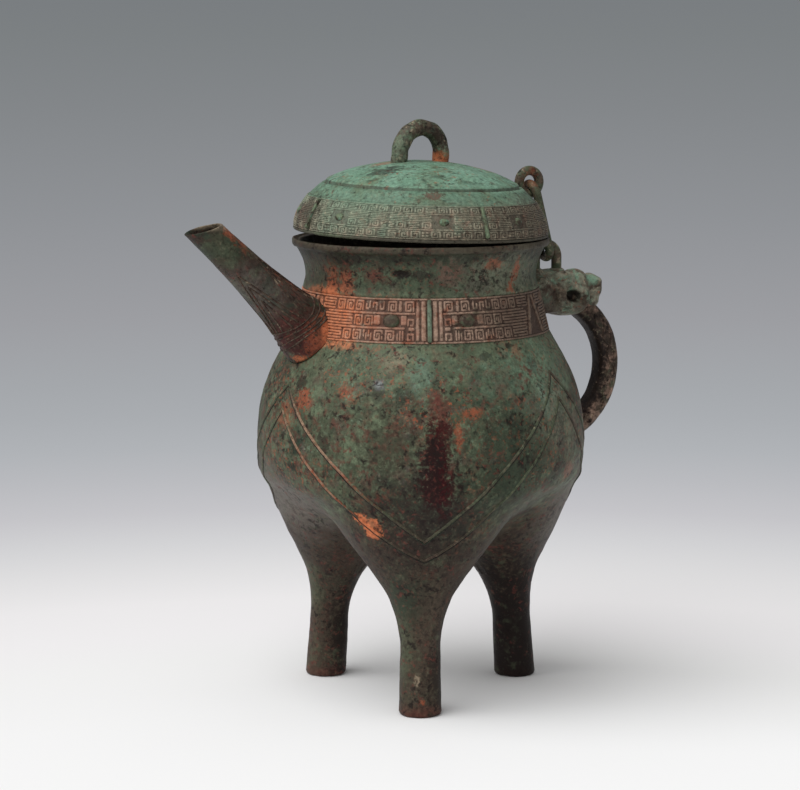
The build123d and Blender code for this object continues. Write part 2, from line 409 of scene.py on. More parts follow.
@dataclass(frozen=True)
class Patina:
    """A finish of old bronze: metal, crusts, stained patches, patches of painted shade and reflection, and wear on the
    raised lines.
    """

    EDGE_CLOUD = (7.0, 7.0, 0.68, 0.31, 0.6)
    FINE_CLOUD = (1.9, 5.0, 0.72, 0.17)
    PIT_CLOUD = (2.6, 4.0, 0.6, 0.9)
    SHADE_CLOUD = (24.0, 3.0, 0.5, 0.77)
    RIDGE_RANGE = (0.30, 0.56)
    GROOVE_RANGE = (0.5, 0.0)
    DUST_RANGE = (0.56, 0.74)
    PIT_RANGE = (0.60, 0.70)
    SHADE_RANGE = (0.30, 0.70)
    PIT_DARK = 0.6
    FINE_ROUGH, SHADE_ROUGH, MEAN_ROUGH = 0.25, 0.08, 0.17
    FINE_HEIGHT, EDGE_HEIGHT, PIT_DEPTH = 0.45, 0.55, 0.5

    base: Pigment
    blooms: tuple[Bloom, ...] = ()
    tides: tuple[Tide, ...] = ()
    patches: tuple[Patch, ...] = ()
    flecks: tuple[Bloom, ...] = ()
    crusts: tuple[Bloom, ...] = ()
    ridge: Optional[Pigment] = None
    ridge_strength: float = 0.75
    groove: Optional[Pigment] = None
    groove_strength: float = 0.7
    dust: Pigment = Pigment.LEAF
    dusty: float = 0.14
    contrast: float = 2.0
    roughness: float = 0.5
    metal: float = 0.1
    pitting: float = 0.4

    def worn(self, paint: Paint, colour: Value, edge: Tone) -> Value:
        """Lightens raised lines and darkens the ground between them.

        Args:
            paint: the material.
            colour: the colour before wear.
            edge: noise that breaks up the wear.

        Returns:
            The colour after wear.
        """
        if self.ridge is None:
            return colour
        raised = paint.node("ShaderNodeAttribute", {"attribute_name": "relief"}, {}, "Fac")
        rubbed = raised * edge.step(*self.RIDGE_RANGE, self.ridge_strength)
        colour = paint.mix(rubbed, colour, self.ridge.value)
        if self.groove is None:
            return colour
        return paint.mix(raised.step(*self.GROOVE_RANGE, self.groove_strength), colour, self.groove.value)

    def material(self, name: str) -> Coat:
        """Makes the finish.

        Args:
            name: the material's name.

        Returns:
            The material.
        """
        paint = Paint(bpy.data.materials.new(name))
        edge, fine = paint.cloud(*self.EDGE_CLOUD), paint.cloud(*self.FINE_CLOUD)
        noises = Noises(edge, fine, edge * HALF + fine * HALF)
        colour: Value = self.base.value
        for layer in (*self.blooms, *self.flecks, *self.tides, *self.patches, *self.crusts):
            colour = paint.mix(layer.mask(paint, noises), colour, layer.pigment.value)
        colour = self.worn(paint, colour, edge)
        colour = paint.mix(fine.step(*self.DUST_RANGE, self.dusty), colour, self.dust.value)
        pits = paint.cloud(*self.PIT_CLOUD).step(*self.PIT_RANGE)
        colour = paint.mix(pits * self.PIT_DARK, colour, Pigment.DARK.value)
        colour = paint.scale(colour, fine * self.contrast + (1 - NOISE_MEAN * self.contrast))
        shade = paint.cloud(*self.SHADE_CLOUD).step(*self.SHADE_RANGE)
        roughness = fine * self.FINE_ROUGH + (self.roughness - self.MEAN_ROUGH) + shade * self.SHADE_ROUGH
        height = fine * self.FINE_HEIGHT + edge * self.EDGE_HEIGHT - pits * self.PIT_DEPTH
        paint.surface(colour, roughness, shade * self.metal, height, self.pitting)
        return paint.owner


@dataclass(frozen=True)
class FiredClay:
    """The finish of the clay cores in the legs."""

    grain: float = 1.4
    octaves: float = 5.0
    coarse: float = 0.7
    sooty: Point = (0.35, 0.7)
    roughness: float = 0.9
    pitting: float = 0.4

    def material(self, name: str) -> Coat:
        """Makes the gritty clay.

        Args:
            name: the material's name.

        Returns:
            The material.
        """
        paint = Paint(bpy.data.materials.new(name))
        grit = paint.cloud(self.grain, self.octaves, self.coarse)
        colour = paint.mix(grit.step(*self.sooty), Pigment.CLAY.value, Pigment.SOOT_AND_SHADE.value)
        paint.surface(colour, self.roughness, 0.0, grit, self.pitting)
        return paint.owner


def flowing(points: Sequence[Point], steps: int = 10) -> np.ndarray:
    """A smooth line through points of a profile.

    Args:
        points: (radius, level) pairs.
        steps: points per span.

    Returns:
        The line as rows of (radius, level).
    """
    knots = [Vector((*point, 0.0)) for point in points]
    last = len(knots) - 1
    line: list[Vector] = []
    for index, (start, end) in enumerate(zip(knots, knots[1:])):
        before, after = knots[max(index - 1, 0)], knots[min(index + 2, last)]
        leave, arrive = start + (end - before) / BEZIER_SHARE, end - (after - start) / BEZIER_SHARE
        line += interpolate_bezier(start, leave, arrive, end, steps + 1)[:-1]
    return np.array([tuple(knot)[:2] for knot in line + [knots[-1]]])


def settle(bm: Shape, reach: float = 0.01) -> None:
    """Merges doubled vertices and turns the faces outwards.

    Args:
        bm: the mesh.
        reach: vertices nearer than this are merged, in millimetres.
    """
    bmesh.ops.remove_doubles(bm, verts=bm.verts, dist=reach)
    bmesh.ops.recalc_face_normals(bm, faces=bm.faces)


def add_line(bm: Shape, points: Sequence[Point], closed: bool = False) -> list:
    """Adds a chain of vertices and edges, for spin to turn.

    Args:
        bm: the mesh it is added to.
        points: the chain's points.
        closed: True if the last point joins the first.

    Returns:
        The chain's vertices and edges.
    """
    verts = [bm.verts.new(point) for point in points]
    pairs = list(zip(verts, verts[1:])) + ([(verts[-1], verts[0])] if closed else [])
    return verts + [bm.edges.new(pair) for pair in pairs]


def spun(points: Sequence[Point], steps: int, closed: bool = False, centre: Point = (0.0, 0.0, 0.0),
         axis: Point = (0.0, 0.0, 1.0), turn: float = FULL_TURN) -> Shape:
    """Turns a chain of points about an axis.

    Args:
        points: the chain.
        steps: how many steps the turn has.
        closed: True if the chain is a ring.
        centre: a point on the axis.
        axis: the axis.
        turn: the angle; a full turn is merged.

    Returns:
        The mesh, faces outwards.
    """
    bm = bmesh.new()
    bmesh.ops.spin(bm, geom=add_line(bm, points, closed), cent=centre, axis=axis, angle=turn, steps=steps,
                   use_merge=math.isclose(turn, FULL_TURN))
    settle(bm)
    return bm


def weather(bm: Shape, depth: float, size: float) -> None:
    """Gives a surface the uneven skin of a casting.

    Args:
        bm: the mesh.
        depth: how far it swells, in millimetres.
        size: how wide the swellings are, in millimetres.
    """
    bm.normal_update()
    swellings = [noise.fractal(vert.co / size, *CAST_NOISE) * depth for vert in bm.verts]
    for vert, swelling in zip(bm.verts, swellings):
        vert.co += vert.normal * swelling


def eased(bm: Shape, verts: Sequence[bmesh.types.BMVert], factor: float = EASE) -> None:
    """Smooths some of a mesh's vertices once, by a share of the way to their neighbours' mean."""
    bmesh.ops.smooth_vert(bm, verts=verts, factor=factor, use_axis_x=True, use_axis_y=True, use_axis_z=True)


def moved(verts: Sequence[bmesh.types.BMVert], spots: np.ndarray) -> None:
    """Puts vertices at new places, given as rows of x, y, z."""
    for vert, spot in zip(verts, spots):
        vert.co = spot


def joined(parts: Sequence[Shape]) -> Shape:
    """Puts shapes into one mesh.

    Args:
        parts: the shapes, which are used up.

    Returns:
        The mesh.
    """
    carrier = bpy.data.meshes.new("carrier")
    whole = bmesh.new()
    for part in parts:
        part.to_mesh(carrier)
        part.free()
        whole.from_mesh(carrier)
    bpy.data.meshes.remove(carrier)
    return whole


def shown(name: str, data: bpy.types.ID) -> bpy.types.Object:
    """Puts a mesh, curve, lamp or camera into the scene.

    Args:
        name: the object's name.
        data: what it shows.

    Returns:
        The object.
    """
    obj = bpy.data.objects.new(name, data)
    bpy.context.scene.collection.objects.link(obj)
    return obj


def evaluated(holder: bpy.types.Object) -> Shape:
    """The mesh that an object's bevel or modifier makes.

    Args:
        holder: the object, which is removed.

    Returns:
        The mesh.
    """
    skin = bpy.data.meshes.new_from_object(holder.evaluated_get(bpy.context.evaluated_depsgraph_get()))
    bm = bmesh.new()
    bm.from_mesh(skin)
    bpy.data.objects.remove(holder)
    bpy.data.meshes.remove(skin)
    return bm


def finished(bm: Shape, name: str, body: Body, material: Coat,
             nodes: Sequence[str] = ()) -> bpy.types.Object:
    """Makes a piece of a mesh in millimetres.

    Args:
        bm: the mesh, which is used up.
        name: the piece's name.
        body: the body that it rides on.
        material: its finish.
        nodes: the CAD nodes that it stands for.

    Returns:
        The piece.
    """
    bmesh.ops.scale(bm, vec=(MM, MM, MM), verts=bm.verts)
    mesh = bpy.data.meshes.new(name)
    bm.to_mesh(mesh)
    bm.free()
    mesh.shade_smooth()
    mesh.materials.append(material)
    obj = shown(name, mesh)
    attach(obj, body.value)
    if nodes:
        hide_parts(*nodes)
    LOG.info("%s: %d faces on %s", name, len(mesh.polygons), body.value)
    return obj


def wires(lines: Sequence[Sequence[Point]], radius: float, closed: bool = False, sides: int = 2,
          reach: float = 0.001) -> Shape:
    """Round threads that follow lines.

    Args:
        lines: the points of each thread.
        radius: the threads' radius.
        closed: True if each thread is a ring.
        sides: the bevel's resolution.
        reach: vertices nearer than this are merged, in millimetres.

    Returns:
        The threads as one mesh.
    """
    curve = bpy.data.curves.new("threads", "CURVE")
    curve.dimensions = "3D"
    curve.bevel_depth = radius
    curve.bevel_resolution = sides
    curve.use_fill_caps = not closed
    for line in lines:
        spline = curve.splines.new("POLY")
        spline.points.add(len(line) - 1)
        spline.points.foreach_set("co", [value for point in line for value in (*point, 1.0)])
        spline.use_cyclic_u = closed
    bm = evaluated(shown("threads", curve))
    bpy.data.curves.remove(curve)
    settle(bm, reach)
    return bm


@dataclass
class PotForm:
    """The outside of the pot as a field over space: bowl, shoulder, neck and three bag-shaped pouches."""

    belly_level: float = 126.0
    shoulder: tuple[Point, ...] = ((81.0, 126.0), (80.24, 139.6), (77.3, 153.25), (71.3, 167.0), (63.5, 180.5))
    neck: tuple[Point, ...] = ((58.1, 202.7), (56.8, 208.4), (57.9, 215.5), (61.3, 222.5))
    bowl: tuple[Point, ...] = ((-70.0, 38.0), (0.0, 64.0), (24.8, 68.0), (32.4, 73.0), (42.6, 84.0), (48.4, 90.0),
                               (55.0, 96.0), (63.0, 102.0), (69.0, 105.5), (73.4, 108.5), (77.2, 112.5), (79.4, 116.5),
                               (80.7, 121.0), (81.0, 126.0))
    limb: tuple[Point, ...] = ((0.0, 56.0, 10.4), (17.0, 54.6, 10.0), (37.0, 53.0, 10.0), (54.0, 50.0, 14.4),
                               (66.0, 46.8, 21.9), (83.0, 40.0, 35.4), (104.0, 29.3, 52.0), (114.0, 23.4, 58.1),
                               (122.0, 19.3, 61.0), (150.0, 9.0, 60.0))
    melt: tuple[Point, ...] = ((86.0, 4.0), (97.0, 13.0), (109.0, 13.0), (119.0, 5.0), (126.0, 1.5))
    bowl_slope: float = 0.72
    limb_slope: float = 0.85
    flattest: float = 0.25
    lobe_top: float = 150.0

    def __post_init__(self) -> None:
        """Works out the smooth lines that the field reads."""
        upper = np.vstack([flowing(self.shoulder), flowing(self.neck)])
        self.outline = np.vstack([np.array(self.bowl[:-1]), upper])
        self.reaches = flowing([(reach, level) for level, reach, _ in self.limb])
        self.radii = flowing([(radius, level) for level, _, radius in self.limb])

    def limb_at(self, level: np.ndarray) -> tuple[np.ndarray, np.ndarray]:
        """A limb's distance from the axis and its radius.

        Args:
            level: heights above the floor.

        Returns:
            Distances and radii at those heights.
        """
        reach = np.interp(level, self.reaches[:, 1], self.reaches[:, 0])
        return reach, np.interp(level, self.radii[:, 1], self.radii[:, 0])

    def gap(self, spots: np.ndarray) -> np.ndarray:
        """How far points lie outside the pot, below zero inside.

        Args:
            spots: rows of x, y, z.

        Returns:
            The gap at each point.
        """
        level = spots[:, 2]
        radius = np.hypot(spots[:, 0], spots[:, 1])
        slope = np.where(level < self.belly_level, self.bowl_slope, 1.0)
        gap = (radius - np.interp(level, self.outline[:, 1], self.outline[:, 0])) * slope
        reach, thick = self.limb_at(level)
        melt = np.interp(level, *zip(*self.melt))
        for angle in LEG_ANGLES.values():
            turn = math.radians(angle)
            limb = np.hypot(spots[:, 0] - reach * math.cos(turn), spots[:, 1] - reach * math.sin(turn)) - thick
            limb = np.where(level < self.lobe_top, limb * self.limb_slope, np.inf)
            near = np.clip(1 - np.abs(gap - limb) / melt, 0, 1)
            gap = np.minimum(gap, limb) - near * near * melt / 4
        return gap

    def cast(self, start: np.ndarray, direction: np.ndarray, far: float = 150.0, rounds: int = 26) -> np.ndarray:
        """Where rays from inside the pot leave it.

        Args:
            start: rows of x, y, z inside the pot.
            direction: unit vectors.
            far: a length at which every ray is outside.
            rounds: how often the span is halved.

        Returns:
            The points on the pot's outside.
        """
        low, high = np.zeros(len(start)), np.full(len(start), far)
        for _ in range(rounds):
            middle = (low + high) / 2
            outside = self.gap(start + direction * middle[:, None]) > 0
            high = np.where(outside, middle, high)
            low = np.where(outside, low, middle)
        return start + direction * low[:, None]

    def drawn(self, spots: np.ndarray, rounds: int = 12, step: float = 0.2) -> np.ndarray:
        """Points pulled on to the outside, each along the field's own slope.

        Args:
            spots: rows of x, y, z near the outside.
            rounds: how many pulls.
            step: the length over which the slope is taken.

        Returns:
            The pulled points.
        """
        for _ in range(rounds):
            gap = self.gap(spots)
            slope = np.stack([(self.gap(spots + side) - gap) / step for side in np.eye(3) * step], axis=1)
            spots = spots - slope * (gap / np.maximum((slope ** 2).sum(axis=1), self.flattest))[:, None]
        return spots

    def skin(self, angles: np.ndarray, levels: np.ndarray) -> np.ndarray:
        """Points on the outside, by angle and level.

        Args:
            angles: angles about the pot's axis, in degrees.
            levels: heights.

        Returns:
            Rows of x, y, z.
        """
        turn = np.radians(angles)
        start = np.stack([np.zeros_like(levels), np.zeros_like(levels), levels], axis=1)
        return self.cast(start, np.stack([np.cos(turn), np.sin(turn), np.zeros_like(turn)], axis=1))


@dataclass
class Pot:
    """The cast pot: neck, shoulder and three hollow pouches in one skin."""

    form: PotForm
    wall: float = 3.5
    cut_level: float = 54.0
    steps: int = 252
    lower_rings: int = 64
    ball: float = 50.0
    neck_steps: int = 7
    band_shares: Point = (0.035, 0.965)
    band_rings: int = 14
    sink: float = 0.6
    crotch_level: float = 86.0
    crotch_reach: float = 46.0
    crotch_edges: Point = (5.0, 3.0, 3.0)
    flaw: Point = (-36.4, -45.0, 213.6)
    flaw_half: Point = (4.6, 4.6, 1.6)
    flaw_depth: float = 1.7
    lip: tuple[Point, ...] = ((61.3, 222.5), (62.7, 223.0), (63.4, 223.9), (63.4, 225.6), (63.0, 226.3), (62.3, 226.5))

    def upper_line(self) -> list[Point]:
        """The profile from the belly to the rim, with the band's ground sunk.

        Returns:
            Points in the XZ plane.
        """
        foot, top = np.array(self.form.shoulder[-1]), np.array(self.form.neck[0])
        shares = np.linspace(*self.band_shares, self.band_rings)
        ground = np.array([foot + (top - foot) * share - np.array((self.sink, 0.0)) for share in shares])
        neck = flowing(self.form.neck, self.neck_steps)[:-1]
        rows = [flowing(self.form.shoulder), ground, neck, np.array(self.lip)]
        return [(radius, 0.0, level) for radius, level in np.vstack(rows)]

    def build(self) -> Shape:
        """Spins the profile, presses the lower half on to the form and gives it a wall.

        Returns:
            The skin.
        """
        form, base = self.form, self.form.belly_level
        turns = np.linspace(0, math.pi / 2, self.lower_rings)
        lower = [(self.ball * math.cos(turn), 0.0, base - self.ball * math.sin(turn)) for turn in turns]
        bm = bmesh.new()
        for line in (self.upper_line(), lower):
            bmesh.ops.spin(bm, geom=add_line(bm, line), cent=(0, 0, 0), axis=(0, 0, 1), angle=FULL_TURN,
                           steps=self.steps, use_merge=True)
        spots = np.array([vert.co for vert in bm.verts])
        below = spots[:, 2] < form.lobe_top
        start = np.zeros_like(spots)
        start[:, 2] = np.maximum(spots[:, 2], base)
        aim = spots - start
        aim /= np.maximum(np.linalg.norm(aim, axis=1), TINY)[:, None]
        spots[below] = form.cast(start[below], aim[below])
        moved(bm.verts, spots)
        settle(bm)
        for length in self.crotch_edges:
            long = [edge for edge in bm.edges if edge.calc_length() > length and edge.verts[0].co.z < self.crotch_level]
            bmesh.ops.subdivide_edges(bm, edges=long, cuts=1, use_grid_fill=True)
            low = [vert for vert in bm.verts if vert.co.z < self.crotch_level]
            moved(low, form.drawn(np.array([vert.co for vert in low])))
            eased(bm, [vert for vert in low if vert.co.xy.length < self.crotch_reach])
        bmesh.ops.bisect_plane(bm, geom=bm.verts[:] + bm.edges[:] + bm.faces[:], plane_co=(0, 0, self.cut_level),
                               plane_no=(0, 0, 1), clear_inner=True)
        weather(bm, *CAST_SKIN)
        for vert in bm.verts:
            off = vert.co - Vector(self.flaw)
            share = 1 - sum((step / half) ** 2 for step, half in zip(off, self.flaw_half))
            vert.co -= vert.normal * (self.flaw_depth * max(0.0, share) ** 0.5)
        bmesh.ops.solidify(bm, geom=bm.faces[:], thickness=self.wall)
        return bm

    def dress(self, finish: Patina) -> None:
        """Makes the pot's piece with that finish."""
        finished(self.build(), "pot_skin", Body.VESSEL, finish.material("pot_patina"),
                 ("neck", "shoulder", "pouch_under_handle", "pouch_far", "pouch_near"))


@dataclass
class BellyThreads:
    """Two raised threads that zigzag round the belly, low over the legs and high between them."""

    form: PotForm
    low_levels: Point = (88.4, 78.8)
    high_levels: Point = (161.0, 149.0)
    bows: Point = (-0.18, -0.5)
    turn: float = 1.5
    lean: Point = (3.6, -2.5)
    lean_at: float = 300.0
    radius: float = 0.8
    sink: float = 0.25
    # How far below each thread its thin dark wire of painted shadow sits, and the wire's radius.
    shadow_line: Point = (-1.25, 0.45)
    steps: int = 40
    uneven: Point = (0.15, 3.0)

    def line(self, low: float, high: float, bow: float, drop: float = 0.0) -> list[Point]:
        """One thread's ring of points.

        Args:
            low: level over the legs.
            high: level between the legs.
            bow: how far each flank of the zigzag bends upwards.
            drop: how far the line is moved up, below zero for down.

        Returns:
            Points on the pot's outside.
        """
        flanks = 2 * len(LEG_ANGLES)
        flank = 360 / flanks
        angles = np.linspace(0, 360, flanks * self.steps, endpoint=False)
        share = np.abs((angles + flank) % (2 * flank) - flank) / flank
        tilt = np.cos(np.radians(angles - self.lean_at)) * share
        rise = (high - low) * share * (1 + bow - bow * share) + self.lean[0] * tilt
        spots = self.form.skin(angles + self.turn + self.lean[1] * tilt, low + rise + drop)
        spots[:, :2] *= 1 - self.sink / np.hypot(spots[:, 0], spots[:, 1])[:, None]
        return [tuple(spot) for spot in spots]

    def dress(self, finish: Patina, shadow_line_finish: Patina) -> None:
        """Makes the threads and the thin dark wires of painted shadow below them.

        Args:
            finish: the threads' finish.
            shadow_line_finish: the finish of the dark wires of painted shadow below the threads.
        """
        sizes = list(zip(self.low_levels, self.high_levels, self.bows))
        drop, thin = self.shadow_line
        bm = wires([self.line(*size) for size in sizes], self.radius, closed=True)
        weather(bm, *self.uneven)
        finished(bm, "belly_threads", Body.VESSEL, finish.material("thread_patina"))
        # Thin dark wires just below the threads: painted shadow along the threads' lower side, not furrows in the
        # metal.
        bm = wires([self.line(*size, drop) for size in sizes], thin, closed=True)
        finished(bm, "belly_shadow_lines", Body.VESSEL, shadow_line_finish.material("shadow_line_patina"))


def mark_relief(bm: Shape, height: Callable[[bmesh.types.BMVert], float]) -> None:
    """Stores how far each vertex is raised, for the wear in a finish.

    Args:
        bm: the mesh.
        height: 0 on the ground to 1 on the top of a raised line, for a vertex.
    """
    layer = bm.verts.layers.float.new("relief")
    for vert in bm.verts:
        vert[layer] = height(vert)


@dataclass
class Leg:
    """One leg: a post that swells into its pouch."""

    where: str
    form: PotForm
    top: float = 54.0
    hidden: float = 7.0
    swell: float = 0.12
    swell_reach: float = 8.0
    tuck: float = 0.5
    foot_levels: Point = (0.0, 0.0, 0.5, 1.6)
    foot_round: Point = (1.5, 0.5)
    shaft_start: float = 3.5
    rings: int = 36
    steps: int = 56

    def build(self) -> Shape:
        """Spins the post and leans it along the limb.

        Returns:
            The leg.
        """
        crest = self.top + self.hidden
        levels = np.concatenate([self.foot_levels, np.linspace(self.shaft_start, crest, self.rings), [crest]])
        radius = self.form.limb_at(levels)[1]
        radius += np.interp(levels, (self.top - self.swell_reach, self.top, crest), (0.0, self.swell, -self.tuck))
        radius[1:3] -= self.foot_round
        radius[[0, -1]] = 0.0
        bm = spun([(wide, 0.0, level) for wide, level in zip(radius, levels)], self.steps)
        turn = Matrix.Rotation(math.radians(LEG_ANGLES[self.where]), 3, "Z")
        spots = np.array([vert.co for vert in bm.verts])
        for vert, away in zip(bm.verts, self.form.limb_at(spots[:, 2])[0]):
            vert.co = turn @ (vert.co + Vector((away, 0, 0)))
        weather(bm, *CAST_SKIN)
        return bm

    def dress(self, finish: Coat) -> None:
        """Makes the leg's piece with that finish."""
        finished(self.build(), "leg_skin_" + self.where, Body.VESSEL, finish, ("leg_" + self.where,))


@dataclass
class Studio:
    """Floor, light and camera."""

    floor_radius: float = 200.0
    floor_sides: int = 128
    floor_rough: float = 0.9
    camera_at: Point = (-0.7, -1.2124, 0.345)
    camera_aim: Point = (-0.0088, 0.0051, 0.1478)
    lens: float = 128.2
    sensor: float = 36.0
    key_from: Point = (-0.9, -0.1, 1.25)
    key_strength: float = 2.6
    key_angle: float = 70.0
    sky: Colour = (0.45, 0.45, 0.45, 1.0)
    backdrop: Colour = (0.186, 0.199, 0.210, 1.0)
    # Centre of the light that is painted on the floor; the colours below darken outwards from it, a painted falloff of
    # the studio light.
    painted_pool_centre: Point = (-0.15, -0.26, 0.0)
    painted_falloff: tuple[tuple[float, Colour], ...] = (
        (0.0, (0.86, 0.86, 0.86, 1)), (0.21, (0.838, 0.838, 0.838, 1)), (0.272, (0.807, 0.805, 0.802, 1)),
        (0.305, (0.79, 0.777, 0.784, 1)), (0.34, (0.757, 0.744, 0.75, 1)), (0.374, (0.677, 0.671, 0.677, 1)),
        (0.41, (0.585, 0.585, 0.598, 1)), (0.445, (0.50, 0.497, 0.519, 1)), (0.481, (0.441, 0.446, 0.468, 1)),
        (0.517, (0.39, 0.404, 0.425, 1)), (0.554, (0.356, 0.37, 0.39, 1)), (0.59, (0.333, 0.346, 0.365, 1)),
        (0.664, (0.298, 0.302, 0.32, 1)), (0.775, (0.245, 0.254, 0.269, 1)), (0.886, (0.203, 0.214, 0.224, 1)),
        (0.96, (0.18, 0.193, 0.20, 1)), (1.0, (0.172, 0.184, 0.194, 1)))

    def floor(self) -> None:
        """A pale floor whose colour darkens outwards from a painted spot of light, painting the studio light's falloff
        far behind the object.
        """
        bm = bmesh.new()
        bmesh.ops.create_circle(bm, cap_ends=True, radius=self.floor_radius, segments=self.floor_sides)
        mesh = bpy.data.meshes.new("floor")
        bm.to_mesh(mesh)
        bm.free()
        paint = Paint(bpy.data.materials.new("floor_painted_falloff"))
        away = paint.vector("DISTANCE", paint.place(), self.painted_pool_centre, "Value")
        colour = paint.node("ShaderNodeValToRGB", {"stops": self.painted_falloff}, {0: away / (away + 1.0)})
        shader = paint.node("ShaderNodeBsdfPrincipled", {},
                            {"Base Color": colour, "Roughness": self.floor_rough, "Specular IOR Level": 0.0})
        paint.node("ShaderNodeOutputMaterial", {}, {"Surface": shader})
        mesh.materials.append(paint.owner)
        obj = shown("floor", mesh)

    def light(self) -> None:
        """One large soft key from the upper left and an even sky."""
        lamp = bpy.data.lights.new("key", "SUN")
        lamp.energy = self.key_strength
        lamp.angle = math.radians(self.key_angle)
        shown("key", lamp).rotation_euler = Vector(self.key_from).to_track_quat("Z", "Y").to_euler()
        paint = Paint(bpy.data.worlds.new("sky"))
        seen = [paint.node("ShaderNodeLightPath", {}, {}, ray) for ray in
                ("Is Camera Ray", "Is Glossy Ray", "Is Transmission Ray")]
        even = paint.node("ShaderNodeBackground", {}, {"Color": self.sky})
        behind = paint.node("ShaderNodeBackground", {}, {"Color": self.backdrop})
        shader = paint.node("ShaderNodeMixShader", {}, {0: seen[0] + seen[1] + seen[2], 1: even, 2: behind})
        paint.node("ShaderNodeOutputWorld", {}, {"Surface": shader})
        bpy.context.scene.world = paint.owner

    def camera(self) -> None:
        """The camera, at the photograph's viewing angle."""
        lens = bpy.data.cameras.new("camera")
        lens.lens = self.lens
        lens.sensor_width = self.sensor
        lens.sensor_fit = "HORIZONTAL"
        eye = shown("camera", lens)
        eye.location = self.camera_at
        aim = Vector(self.camera_aim) - Vector(self.camera_at)
        eye.rotation_euler = aim.to_track_quat("-Z", "Y").to_euler()
        bpy.context.scene.camera = eye
        bpy.context.scene.view_settings.view_transform = "Standard"

    def dress(self) -> None:
        """Sets the whole stage."""
        self.floor()
        self.light()
        self.camera()


def ring_line(half_wide: float, half_thick: float, corner: float, bend: int = 4) -> list[tuple[float, float]]:
    """The outline of a bar with rounded corners.

    Args:
        half_wide: half its width.
        half_thick: half its thickness.
        corner: the corners' radius.
        bend: points per corner, less one.

    Returns:
        (across, outwards) pairs, all the way round.
    """
    line = []
    for side, (wide, thick) in enumerate(((1, 1), (-1, 1), (-1, -1), (1, -1))):
        for turn in np.linspace(side * math.pi / 2, (side + 1) * math.pi / 2, bend + 1):
            line.append((wide * (half_wide - corner) + corner * math.cos(turn),
                         thick * (half_thick - corner) + corner * math.sin(turn)))
    return line


